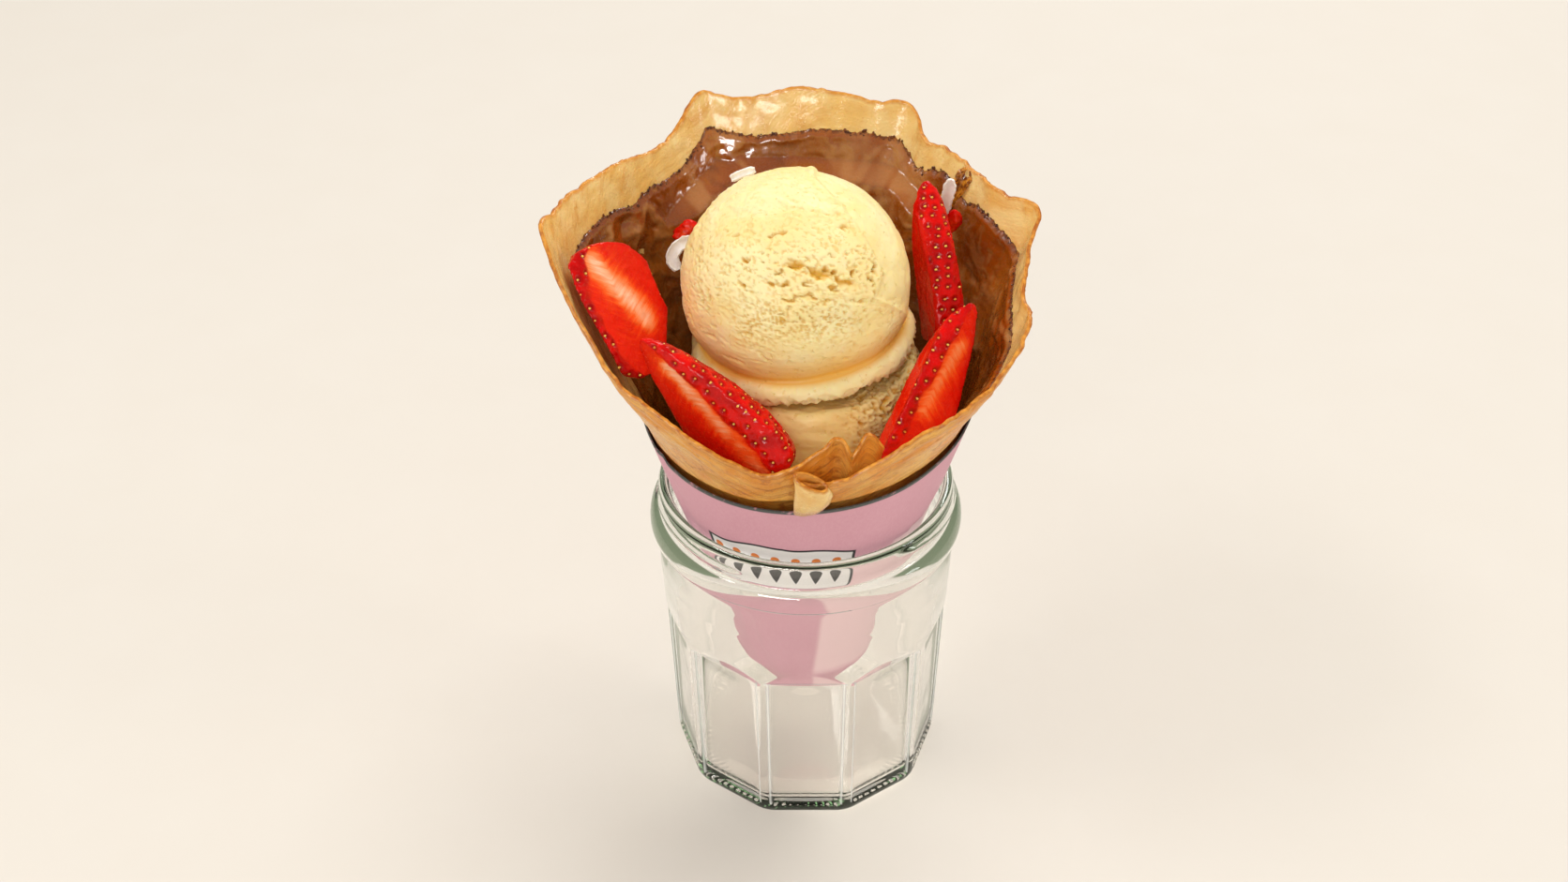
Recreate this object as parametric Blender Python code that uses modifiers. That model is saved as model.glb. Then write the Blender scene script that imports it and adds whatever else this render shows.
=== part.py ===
"""Ice cream crepe in a paper sleeve, standing in a ten-sided glass jar.

Z is up, the jar stands on z = 0 with its axis on the Z axis and one facet towards -Y, the front.
Angles go round from the front: +90 is the right side (+X), 180 the back, -90 the left side.
Sizes in the tables are millimetres and are turned into metres by MM.
"""
import math

import bmesh
import bpy
from mathutils import Matrix, Vector

MM = 0.001
NAME = "ice_cream_crepe"

# Glass jar: ridge radii of the facets, and the round wall from its inner floor over the lip to its foot,
# both as (radius, height)
FACETS = 10
ROUND_STEPS = 60
FACET_PROFILE = [(0, 99), (57, 99), (43.3, 62), (38.8, 51), (36.6, 2), (33.3, -4), (0, -4)]
JAR_PROFILE = [
    (0, 4), (27, 4.1), (31.4, 5), (33.0, 8), (33.6, 24), (34.6, 52), (35.8, 64), (35.9, 75), (35.5, 84),
    (35.7, 90.6), (36.5, 91.7), (37.4, 92), (38.5, 91.5), (39.0, 90.4), (38.9, 84.9), (40.3, 83.8),
    (41.3, 82.2), (41.5, 80.4), (41.1, 78.6), (39.9, 77.2), (38.9, 76.3), (39.3, 73), (39.2, 66),
    (38.8, 58), (38.4, 51), (36.1, 0), (0, 0),
]
LUG_RADIUS = 39.0
LUG_THICKNESS = 0.85
LUG_SINK = 0.15
LUG_END_SHARE = 0.25
LUG_TAPER = 6
# Thread lugs as (start angle, end angle, start height, end height)
LUGS = [(-84, -22, 89.4, 86.2), (36, 98, 89.4, 86.2), (156, 218, 89.4, 86.2)]

# Paper sleeve: a cone round the jar axis, its mouth cut by a sloping plane and its lower end drawn in to a
# blunt tip, outside and inside as (radius, height)
CONE_APEX = -20.0
PAPER_SLOPE = 0.313
PAPER_THICKNESS = 0.45
PAPER_END_OUTSIDE = [(18.15, 38.0), (14.6, 33.0), (11.0, 28.0), (8.0, 24.6), (4.5, 22.7), (0, 22.3)]
PAPER_END_INSIDE = [(0, 22.9), (4.2, 23.3), (7.5, 25.1), (10.4, 28.4), (14.0, 33.3), (17.7, 38.2)]
PAPER_STEPS = 72
PAPER_BLANK_TOP = 140.0
MOUTH_CUTTER_SIZE = 0.2
MOUTH_CUTTER_TOP = 0.3
MOUTH_HEIGHT = 118.3
MOUTH_RISE_X = 0.057
MOUTH_RISE_Y = 0.173

# Crepe: rim of the shell as (angle, radius, height)
RIM = [
    (-177.2, 56.8, 175.8), (-169.2, 58.0, 173.4), (-160.3, 60.8, 172.3), (-155.0, 64.0, 174.0),
    (-150.6, 62.5, 172.2), (-145.3, 58.8, 168.9), (-134.5, 54.6, 167.6), (-123.6, 53.6, 170.0),
    (-112.0, 55.0, 171.4), (-101.0, 58.4, 171.4), (-89.0, 62.0, 172.0), (-82.0, 64.0, 174.0),
    (-76.0, 63.5, 170.0), (-66.0, 60.5, 158.0), (-56.0, 57.0, 147.0), (-46.0, 54.0, 141.0),
    (-38.0, 52.0, 137.0), (-30.0, 50.2, 133.0), (-22.0, 48.8, 129.5), (-14.0, 47.4, 125.6),
    (-7.0, 47.2, 125.8), (-3.0, 47.2, 126.4), (-1.8, 48.8, 128.0), (2.0, 47.8, 125.8), (5.4, 47.8, 124.3),
    (10.0, 49.2, 126.6), (20.0, 50.8, 131.5), (30.0, 52.0, 136.0), (40.0, 53.0, 138.5),
    (49.0, 54.5, 141.0), (58.0, 56.5, 145.0), (66.0, 58.0, 150.0), (73.0, 57.0, 152.0),
    (80.0, 55.0, 152.5), (88.0, 54.5, 155.0), (96.0, 56.5, 158.5), (104.0, 60.3, 162.7),
    (108.9, 59.8, 163.8), (112.6, 57.9, 162.7), (119.5, 55.0, 163.0), (126.6, 55.2, 163.5),
    (132.0, 55.2, 164.7), (139.5, 56.7, 165.2), (147.5, 58.3, 165.1), (152.0, 62.5, 169.0),
    (156.4, 63.1, 171.3), (161.3, 60.4, 171.4), (170.1, 57.2, 173.8),
]
CREPE_GAP = 1.0
CREPE_THICKNESS = 1.6
# Lower end of the crepe inside the sleeve's tip, as (height, radius)
CREPE_END = [(26.0, 4.0), (29.5, 9.2), (34.0, 13.2), (39.0, 17.47)]
CREPE_FLOOR = 84.0
FLOOR_CORNER = 5.0
FLOOR_FILLET = 3.5
LOWER_ROWS = [height for height, radius in CREPE_END] + [62.0, 85.0]
BELOW_MOUTH = 4.0
SHELL_ROWS = 6
SHELL_START = 0.6
RIM_EDGE = 0.45

# Chocolate spread inside the shell: upper edge as (angle, height), and how far down it goes
CHOCOLATE_EDGE = [
    (-82, 158), (-90, 160), (-100, 161.2), (-109, 161.4), (-118, 159.6), (-126, 160.3), (-136, 159.4),
    (-145.5, 160.2), (-151, 163), (-155, 165.2), (-159, 164), (-165, 163), (-175, 164.4), (-189, 165.3),
    (-195, 164), (-201, 162.6), (-206, 161.2), (-209, 159), (-214, 157.8), (-218, 159.2), (-224, 159.6),
    (-232, 156), (-239, 156.8), (-246, 154.8), (-253, 152.8), (-258, 152), (-266, 150.4), (-276, 147.6),
    (-283, 145), (-290, 141.4), (-302, 137),
]
CHOCOLATE_LOW = 96.0
CHOCOLATE_THICKNESS = 1.3
CHOCOLATE_GAP = 0.55
CHOCOLATE_ROWS = 6
CHOCOLATE_EDGE_SHARE = 0.7
CHOCOLATE_EDGE_DROP = 0.3

# Front folds: the inner layer's flap as (angle, top radius, top height, half thickness). Its foot is in the
# wall
FLAP = [
    (-12, 46.3, 124.4, 0.35), (-6, 45.2, 126.7, 0.75), (-1.5, 44.1, 128.7, 0.75), (4, 43.6, 130.4, 0.75),
    (10, 43.0, 133.4, 0.75), (15, 42.8, 134.6, 0.75), (19.5, 42.9, 133.6, 0.7),
]
FLAP_FOOT = 119.0
FLAP_FOOT_HALF = 0.4
FLAP_SHOULDER = 0.5
# Between these angles either side of the front the inner surface runs on smoothly behind the free edge
FRONT = 8.0
# Hooded pleat at the front: foot, left, crown, right lobe and low right corner as (x, y, z)
PLEAT = [
    (-2.4, -44.4, 114.0), (-3.0, -46.9, 121.5), (-2.2, -48.8, 128.2), (4.6, -48.4, 124.2),
    (4.4, -46.2, 117.5),
]
PLEAT_DEPTH = 2.6

# Ice cream: scoop profiles as (radius, height over the scoop's centre), then each centre
TOP_CENTRE = (-2.4, 0.5, 150.8)
TOP_LEAN = -6.0
TOP_PROFILE = [
    (0, 28.8), (5.6, 28.2), (11.0, 26.6), (16.0, 23.9), (20.4, 20.3), (24.0, 15.9), (26.7, 10.8),
    (28.2, 5.5), (28.8, 0), (28.2, -5.4), (26.8, -9.8), (25.5, -12.4), (26.6, -13.8), (28.0, -15.6),
    (27.8, -17.4), (25.8, -18.8), (20, -20.0), (10, -20.6), (0, -20.8),
]
SEAT_PROFILE = [
    (0, 10), (38, 10), (38, -14), (30.0, -15.4), (28.4, -18.0), (26.1, -19.5), (20.2, -20.7), (10, -21.3),
    (0, -21.5),
]
LOW_CENTRE = (0.5, 0.3, 116.5)
LOW_PROFILE = [
    (0, 30.5), (8, 29.6), (16, 26.8), (23, 21.6), (27.6, 15.2), (29.6, 8.0), (29.8, 0), (28.8, -8.0),
    (26.4, -15.6), (22, -22.0), (15, -27.0), (7, -29.4), (0, -30.0),
]
SCOOP_STEPS = 36

# Strawberry pieces: profile as (share of half width, share of length), then tip and butt on the berry's axis,
# width, and cut planes as (outward normal, distance from axis)
LONG_BERRY = [
    (0, 0), (0.1, 0.01), (0.24, 0.06), (0.42, 0.16), (0.6, 0.3), (0.78, 0.46), (0.93, 0.62), (1, 0.76),
    (0.97, 0.87), (0.8, 0.95), (0.45, 0.99), (0, 1),
]
ROUND_BERRY = [
    (0, 0), (0.25, 0.015), (0.5, 0.08), (0.74, 0.2), (0.92, 0.36), (1, 0.52), (0.98, 0.68), (0.88, 0.81),
    (0.7, 0.91), (0.42, 0.975), (0, 1),
]
BERRY_STEPS = 22
BERRY_CUT_ANGLE = 40
BERRIES = {
    "strawberry_left": (ROUND_BERRY, (-37.8, -22.4, 139.2), (-50.6, -4.4, 165.8), 29.0,
                        [((0.7, -0.37, 0.6), 0.0), ((-0.7, 0.37, -0.6), 4.6)]),
    "strawberry_front_left": (LONG_BERRY, (-39.5, -28.0, 153.2), (-9.4, -40.0, 117.6), 27.0,
                              [((-0.52, -0.84, -0.15), 0.0), ((0.52, 0.84, 0.15), 8.2)]),
    "strawberry_back_right": (LONG_BERRY, (30.4, 25.0, 166.0), (35.0, 4.0, 131.0), 20.0,
                              [((0.95, 0.3, 0.0), 4.4), ((-0.95, -0.3, 0.0), 4.4), ((0.0, 0.85, -0.5), 4.0)]),
    "strawberry_front_right": (LONG_BERRY, (41.2, -12.0, 153.2), (21.5, -38.0, 121.4), 22.0,
                               [((0.5, -0.8, 0.3), 0.0), ((-0.6, 0.1, 0.8), 5.0), ((-0.5, 0.8, -0.3), 6.5)]),
}
# Where a piece would press on the crepe it is trimmed: outward normal and a point just inside the wall
TRIMS = {
    "strawberry_left": [((-0.865, -0.387, -0.33), (-47.2, -21.0, 145.0)),
                        ((-0.95, -0.1, -0.3), (-54.6, -12.0, 160.0))],
    "strawberry_front_left": [((-0.235, -0.877, -0.42), (-10.2, -38.2, 117.0)),
                              ((-0.1, -0.99, 0.1), (-4.5, -43.5, 126.4))],
    "strawberry_front_right": [((0.6, -0.66, -0.45), (25.0, -29.6, 118.0)),
                               ((-0.7, -0.7, -0.1), (17.8, -37.4, 120.0))],
}
# Small trimmings of berry: two ends and the radius between them
BERRY_BITS = {
    "strawberry_bit_right": ((35.0, 25.0, 147.6), (37.8, 25.2, 157.6), 2.4),
    "strawberry_bit_left": ((-30.9, 21.5, 149.0), (-29.8, 23.5, 155.6), 2.8),
}
# White chocolate shavings: path points and half width
SHAVINGS = {
    "white_shaving_right": ([(34.2, 28.6, 149.7), (35.9, 29.0, 157.5), (37.4, 29.4, 165.2)], 1.3),
    "white_shaving_left": (
        [(-28.2, 18.0, 152.6), (-31.6, 16.0, 152.6), (-33.8, 14.2, 150.0), (-32.4, 12.4, 147.2)], 1.5),
    "white_shaving_back": ([(-18.6, 17.0, 171.8), (-15.8, 17.6, 173.0), (-12.6, 18.2, 173.8)], 1.3),
}
SHAVING_THICKNESS = 1.1
SHAVING_END_SHARE = 0.55
# The flat of each shaving faces forwards and up
SHAVING_FACING = (0, -0.79, 0.61)

# Material: colour, roughness, metallic
LOOKS = {
    "jar": ((0.86, 0.93, 0.88), 0.05, 0.0),
    "paper_sleeve": ((0.70, 0.40, 0.45), 0.6, 0.0),
    "crepe": ((0.75, 0.43, 0.16), 0.55, 0.0),
    "chocolate_spread": ((0.16, 0.06, 0.025), 0.3, 0.0),
    "scoop": ((0.93, 0.82, 0.48), 0.5, 0.0),
    "strawberry": ((0.72, 0.03, 0.02), 0.3, 0.0),
    "white_shaving": ((0.9, 0.86, 0.78), 0.5, 0.0),
}


def clear_scene():
    for old in list(bpy.data.objects):
        bpy.data.objects.remove(old, do_unlink=True)


def new_collection(name):
    made = bpy.data.collections.new(name)
    bpy.context.scene.collection.children.link(made)
    return made


def material(node):
    kind = next(key for key in LOOKS if node.startswith(key))
    colour, roughness, metallic = LOOKS[kind]
    made = bpy.data.materials.new(node)
    made.use_nodes = True
    shader = made.node_tree.nodes["Principled BSDF"]
    shader.inputs["Base Color"].default_value = (*colour, 1.0)
    shader.inputs["Roughness"].default_value = roughness
    shader.inputs["Metallic"].default_value = metallic
    made.diffuse_color = (*colour, 1.0)
    return made


def make_object(name, mesh, part=True):
    made = bpy.data.objects.new(name, mesh)
    (PARTS if part else CUTTERS).objects.link(made)
    if part:
        mesh.materials.append(material(name))
    else:
        made.display_type = "WIRE"
        made.hide_render = True
    return made


def mesh_from(name, points, faces, smooth=True):
    mesh = bpy.data.meshes.new(name)
    mesh.from_pydata([[c * MM for c in point] for point in points], [], faces)
    shape = bmesh.new()
    shape.from_mesh(mesh)
    bmesh.ops.triangulate(shape, faces=shape.faces)
    bmesh.ops.recalc_face_normals(shape, faces=shape.faces)
    shape.to_mesh(mesh)
    shape.free()
    mesh.polygons.foreach_set("use_smooth", [smooth] * len(mesh.polygons))
    mesh.update()
    return mesh


def turned(name, profile, steps, centre=(0, 0, 0), part=True, smooth=True):
    """Screw the (radius, height) profile round an upright axis through centre."""
    mesh = bpy.data.meshes.new(name)
    points = [(radius * MM, 0.0, height * MM) for radius, height in profile]
    mesh.from_pydata(points, [(i, i + 1) for i in range(len(points) - 1)], [])
    made = make_object(name, mesh, part)
    made.location = [c * MM for c in centre]
    screw = made.modifiers.new("turn", "SCREW")
    screw.axis = "Z"
    screw.steps = steps
    screw.render_steps = steps
    screw.use_merge_vertices = True
    screw.merge_threshold = 0.00002
    screw.use_smooth_shade = smooth
    return made


def boolean(target, cutter, operation):
    cut = target.modifiers.new(f"{operation.lower()}_{cutter.name}", "BOOLEAN")
    cut.operation = operation
    cut.solver = "EXACT"
    cut.object = cutter
    return cut


def polar(angle, radius, height):
    turn = math.radians(angle)
    return Vector((radius * math.sin(turn), -radius * math.cos(turn), height))


def lerp(low, high, share):
    return low + (high - low) * share


def ease(share):
    share = min(max(share, 0.0), 1.0)
    return share * share * (3 - 2 * share)


def between(table, angle, column):
    """Straight-line value of a column of an angle table, which runs once round."""
    first = table[0][0]
    angle = (angle - first) % 360 + first
    for low, high in zip(table, table[1:] + [(first + 360, *table[0][1:])]):
        if low[0] <= angle <= high[0]:
            return lerp(low[column], high[column], (angle - low[0]) / (high[0] - low[0]))
    return table[-1][column]


def mouth_height(angle):
    """Height of the paper's mouth on the cone at an angle."""
    turn = math.radians(angle)
    rise = MOUTH_RISE_X * math.sin(turn) - MOUTH_RISE_Y * math.cos(turn)
    return (MOUTH_HEIGHT + rise * PAPER_SLOPE * -CONE_APEX) / (1 - rise * PAPER_SLOPE)


def crepe_outer(angle, height):
    """Outer radius of the crepe's shell."""
    if height < CREPE_END[-1][0]:
        return between_open(CREPE_END, height)
    paper = (height - CONE_APEX) * PAPER_SLOPE - CREPE_GAP
    mouth = mouth_height(angle)
    rim_height = between(RIM, angle, 2)
    if height <= mouth:
        return paper
    share = ease((height - mouth) / (rim_height - mouth)) if height < rim_height else 1.0
    slope = between(RIM, angle, 1) / (rim_height - CONE_APEX)
    return lerp(paper, (height - CONE_APEX) * slope, share)


def crepe_inner(angle, height):
    """Inner radius of the shell, one layer in from the outer one."""
    if abs(angle) < FRONT:
        share = (angle + FRONT) / (2 * FRONT)
        outer = lerp(crepe_outer(-FRONT, height), crepe_outer(FRONT, height), share)
    else:
        outer = crepe_outer(angle, height)
    return outer - CREPE_THICKNESS


def ring_angles(table, most=6.0):
    """The table's own angles, with more between them where they are far apart."""
    found = []
    for low, high in zip(table, table[1:] + [(table[0][0] + 360, *table[0][1:])]):
        count = max(1, math.ceil((high[0] - low[0]) / most))
        found += [lerp(low[0], high[0], k / count) for k in range(count)]
    return found


def crepe_column(angle):
    """Points up the outside, over the rim and down the inside to the floor."""
    mouth = mouth_height(angle)
    rim_radius, rim_height = between(RIM, angle, 1), between(RIM, angle, 2)
    outside = LOWER_ROWS + [mouth - BELOW_MOUTH]
    rise = [(k + SHELL_START) / SHELL_ROWS for k in range(SHELL_ROWS - 1)]
    outside += [lerp(mouth, rim_height, share) for share in rise]
    column = [polar(angle, crepe_outer(angle, z), z) for z in outside]
    rim_inner = crepe_inner(angle, rim_height)
    column.append(polar(angle, rim_radius, rim_height - RIM_EDGE))
    column.append(polar(angle, (rim_radius + rim_inner) / 2, rim_height))
    column.append(polar(angle, rim_inner, rim_height - RIM_EDGE))
    column += [polar(angle, crepe_inner(angle, z), z) for z in reversed(outside[len(LOWER_ROWS):])]
    corner = CREPE_FLOOR + FLOOR_CORNER
    column.append(polar(angle, crepe_inner(angle, corner), corner))
    column.append(polar(angle, crepe_inner(angle, CREPE_FLOOR) - FLOOR_FILLET, CREPE_FLOOR))
    return column


def closed_ring(name, columns, low_centre, high_centre):
    """Close a ring of columns with a fan at each end."""
    rows = len(columns[0])
    count = len(columns)
    points = [point for column in columns for point in column] + [Vector(low_centre), Vector(high_centre)]
    low, high = count * rows, count * rows + 1
    faces = []
    for i in range(count):
        j = (i + 1) % count
        faces += [(i * rows + k, j * rows + k, j * rows + k + 1, i * rows + k + 1) for k in range(rows - 1)]
        faces.append((low, j * rows, i * rows))
        faces.append((i * rows + rows - 1, j * rows + rows - 1, high))
    return mesh_from(name, points, faces)


def open_band(name, columns):
    """Close a run of section loops into a band with a cap at each end."""
    rows = len(columns[0])
    points = [point for column in columns for point in column]
    faces = []
    for i in range(len(columns) - 1):
        for k in range(rows):
            n = (k + 1) % rows
            faces.append((i * rows + k, (i + 1) * rows + k, (i + 1) * rows + n, i * rows + n))
    faces.append(tuple(range(rows)))
    last = (len(columns) - 1) * rows
    faces.append(tuple(last + k for k in reversed(range(rows))))
    return mesh_from(name, points, faces)


def build_jar():
    """A round jar whose lower wall is cut flat by a ten-sided body; thread lugs on its neck."""
    jar = turned("jar", JAR_PROFILE, ROUND_STEPS)
    facets = turned("jar_facets", FACET_PROFILE, FACETS, part=False, smooth=False)
    boolean(jar, facets, "INTERSECT")
    for number, lug in enumerate(LUGS):
        boolean(jar, build_lug(f"jar_lug_{number + 1}", *lug), "UNION")


def build_lug(name, start, end, start_height, end_height, steps=12, sides=8):
    """A thread lug: a tapered rod along a helix, half sunk in the neck."""
    columns = []
    for i in range(steps + 1):
        share = i / steps
        angle = lerp(start, end, share)
        height = lerp(start_height, end_height, share)
        swell = min(1.0, LUG_TAPER * share, LUG_TAPER * (1 - share))
        size = LUG_THICKNESS * lerp(LUG_END_SHARE, 1.0, swell)
        loop = []
        for k in range(sides):
            turn = math.tau * (k + 0.5) / sides
            radius = LUG_RADIUS - LUG_SINK + size * math.cos(turn)
            loop.append(polar(angle, radius, height + size * math.sin(turn)))
        columns.append(loop)
    return make_object(name, open_band(name, columns), part=False)


def build_sleeve():
    """A cone with a wall and a blunt tip, its top sliced off along the sloping mouth."""
    top = PAPER_BLANK_TOP
    side = PAPER_THICKNESS / math.cos(math.atan(PAPER_SLOPE))
    upper = (top - CONE_APEX) * PAPER_SLOPE
    profile = PAPER_END_INSIDE + [(upper - side, top), (upper, top)] + PAPER_END_OUTSIDE
    sleeve = turned("paper_sleeve", profile, PAPER_STEPS)
    slab = bpy.data.meshes.new("sleeve_mouth")
    shape = bmesh.new()
    bmesh.ops.create_cube(shape, size=1.0)
    for vert in shape.verts:
        x, y = vert.co.x * MOUTH_CUTTER_SIZE, vert.co.y * MOUTH_CUTTER_SIZE
        low = MOUTH_HEIGHT * MM + MOUTH_RISE_X * x + MOUTH_RISE_Y * y
        vert.co = (x, y, low if vert.co.z < 0 else MOUTH_CUTTER_TOP)
    shape.to_mesh(slab)
    shape.free()
    boolean(sleeve, make_object("sleeve_mouth", slab, part=False), "DIFFERENCE")


def build_crepe():
    columns = [crepe_column(angle) for angle in ring_angles(RIM)]
    mesh = closed_ring("crepe", columns, (0, 0, CREPE_END[0][0]), (0, 0, CREPE_FLOOR))
    crepe = make_object("crepe", mesh)
    flap = make_object("crepe_flap", build_flap(), part=False)
    boolean(crepe, flap, "UNION")
    boolean(crepe, build_pleat(), "UNION")


def build_flap():
    """The inner layer, which leaves the left wall and runs on behind the right one."""
    columns = []
    for angle, top, height, half in FLAP:
        foot = crepe_outer(angle, FLAP_FOOT) - CREPE_THICKNESS / 2
        shoulder = height - FLAP_SHOULDER
        columns.append([
            polar(angle, foot - FLAP_FOOT_HALF, FLAP_FOOT), polar(angle, foot + FLAP_FOOT_HALF, FLAP_FOOT),
            polar(angle, top + half, shoulder), polar(angle, top, height), polar(angle, top - half, shoulder),
        ])
    return open_band("crepe_flap", columns)


def build_pleat():
    """A small hooded fold where the outer layer's free edge turns back on itself."""
    shape = bmesh.new()
    for x, y, z in PLEAT:
        for depth in (0, PLEAT_DEPTH):
            shape.verts.new((x * MM, (y + depth) * MM, z * MM))
    hull = bmesh.ops.convex_hull(shape, input=shape.verts)
    bmesh.ops.delete(shape, geom=hull["geom_interior"] + hull["geom_unused"], context="VERTS")
    mesh = bpy.data.meshes.new("crepe_pleat")
    shape.to_mesh(mesh)
    shape.free()
    return make_object("crepe_pleat", mesh, part=False)


def build_chocolate():
    """A lining spread on the inside of the shell, its edge a little rounded."""
    first, last = CHOCOLATE_EDGE[0][0], CHOCOLATE_EDGE[-1][0]
    angles = {(angle + 180) % 360 - 180 for angle in ring_angles(RIM)}
    angles = {angle - 360 * (angle > 0) for angle in angles}
    angles = {angle for angle in angles if last < angle < first} | {first, last}
    table = CHOCOLATE_EDGE[::-1]
    columns = [chocolate_loop(angle, between_open(table, angle)) for angle in sorted(angles)]
    make_object("chocolate_spread", open_band("chocolate_spread", columns))


def between_open(table, angle):
    """Straight-line value of the second column of a rising table."""
    for low, high in zip(table, table[1:]):
        if low[0] <= angle <= high[0]:
            return lerp(low[1], high[1], (angle - low[0]) / (high[0] - low[0]))
    return table[-1][1]


def chocolate_loop(angle, top):
    """Section of the lining at an angle, a little thinner at its upper edge."""
    heights = [lerp(CHOCOLATE_LOW, top, k / CHOCOLATE_ROWS) for k in range(CHOCOLATE_ROWS + 1)]
    outside = [polar(angle, crepe_inner(angle, z) - CHOCOLATE_GAP, z) for z in heights]
    depth = CHOCOLATE_GAP + CHOCOLATE_THICKNESS
    inside = [polar(angle, crepe_inner(angle, z) - depth, z) for z in heights[:-1]]
    edge = CHOCOLATE_GAP + CHOCOLATE_THICKNESS * CHOCOLATE_EDGE_SHARE
    inside.append(polar(angle, crepe_inner(angle, top) - edge, top - CHOCOLATE_EDGE_DROP))
    return inside + outside[::-1]


def build_ice_cream():
    """Two scoops; the lower one is dished where the upper one sits on it."""
    top = turned("scoop_top", TOP_PROFILE, SCOOP_STEPS, TOP_CENTRE)
    low = turned("scoop_lower", LOW_PROFILE, SCOOP_STEPS, LOW_CENTRE)
    seat = turned("scoop_seat", SEAT_PROFILE, SCOOP_STEPS, TOP_CENTRE, part=False)
    for leaning in (top, seat):
        leaning.rotation_euler.y = math.radians(TOP_LEAN)
    boolean(low, seat, "DIFFERENCE")


def build_berry(name, profile, tip, butt, width, planes):
    """A whole berry spun from its profile, laid from tip to butt, then sliced by planes."""
    tip, butt = Vector(tip), Vector(butt)
    axis = (butt - tip).normalized()
    length = (butt - tip).length
    berry = bmesh.new()
    points = [berry.verts.new((radius * width / 2, 0, share * length)) for radius, share in profile]
    edges = [berry.edges.new(pair) for pair in zip(points, points[1:])]
    bmesh.ops.spin(
        berry, geom=points + edges, cent=(0, 0, 0), axis=(0, 0, 1), angle=math.tau, steps=BERRY_STEPS)
    bmesh.ops.remove_doubles(berry, verts=berry.verts, dist=0.01)
    turn = Vector((0, 0, 1)).rotation_difference(axis).to_matrix().to_4x4()
    berry.transform(Matrix.Translation(tip) @ turn)
    middle = (tip + butt) / 2
    for normal, distance in planes:
        normal = Vector(normal)
        normal = (normal - axis * normal.dot(axis)).normalized()
        slice_off(berry, middle + normal * distance, normal)
    for normal, point in TRIMS.get(name, []):
        slice_off(berry, Vector(point), Vector(normal))
    finish_piece(name, berry)


def slice_off(shape, point, normal):
    """Cut away what lies beyond the plane and close the cut."""
    geometry = list(shape.verts) + list(shape.edges) + list(shape.faces)
    bmesh.ops.bisect_plane(shape, geom=geometry, plane_co=point, plane_no=normal, clear_outer=True)
    rim = [edge for edge in shape.edges if edge.is_boundary]
    bmesh.ops.contextual_create(shape, geom=rim)


def finish_piece(name, shape):
    bmesh.ops.recalc_face_normals(shape, faces=shape.faces)
    bmesh.ops.scale(shape, vec=(MM, MM, MM), verts=shape.verts)
    mesh = bpy.data.meshes.new(name)
    shape.to_mesh(mesh)
    shape.free()
    mesh.polygons.foreach_set("use_smooth", [True] * len(mesh.polygons))
    mesh.set_sharp_from_angle(angle=math.radians(BERRY_CUT_ANGLE))
    make_object(name, mesh)


def build_bit(name, low, high, radius):
    """A small trimming: a ball drawn out along its length."""
    low, high = Vector(low), Vector(high)
    bit = bmesh.new()
    bmesh.ops.create_uvsphere(bit, u_segments=12, v_segments=8, radius=1.0)
    turn = Vector((0, 0, 1)).rotation_difference(high - low).to_matrix().to_4x4()
    stretch = Matrix.Diagonal((radius, radius * 0.75, (high - low).length / 2, 1))
    bit.transform(Matrix.Translation((low + high) / 2) @ turn @ stretch)
    finish_piece(name, bit)


def build_shaving(name, path, half_width):
    """A thin curl of white chocolate: a flat ribbon along a path."""
    points = [Vector(point) for point in path]
    loops = []
    for i, point in enumerate(points):
        along = (points[min(i + 1, len(points) - 1)] - points[max(i - 1, 0)]).normalized()
        across = along.cross(Vector(SHAVING_FACING)).normalized()
        thick = across.cross(along) * SHAVING_THICKNESS / 2
        wide = across * half_width * (SHAVING_END_SHARE if i in (0, len(points) - 1) else 1.0)
        loops.append([point - wide - thick, point + wide - thick, point + wide + thick, point - wide + thick])
    shaving = make_object(name, open_band(name, loops))
    for polygon in shaving.data.polygons:
        polygon.use_smooth = False


clear_scene()
PARTS = new_collection(NAME)
CUTTERS = new_collection("cutters")
build_jar()
build_sleeve()
build_crepe()
build_chocolate()
build_ice_cream()
for berry_name, sizes in BERRIES.items():
    build_berry(berry_name, *sizes)
for bit_name, sizes in BERRY_BITS.items():
    build_bit(bit_name, *sizes)
for shaving_name, sizes in SHAVINGS.items():
    build_shaving(shaving_name, *sizes)
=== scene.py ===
# %% [markdown]
# # An ice cream crepe in a glass jar
# The dessert is a thin pancake rolled into a cone, slipped into a paper sleeve and stood in a ten-sided
# preserving jar. These cells make the visible pieces one by one around fixed CAD solids, which carry the
# true sizes. Tables are in millimetres, because that is how a cook or a glassmaker would measure them.

# %% Load the fixed frame
import math
import random

import bpy
import numpy as np
from mathutils import Matrix, Vector


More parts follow.
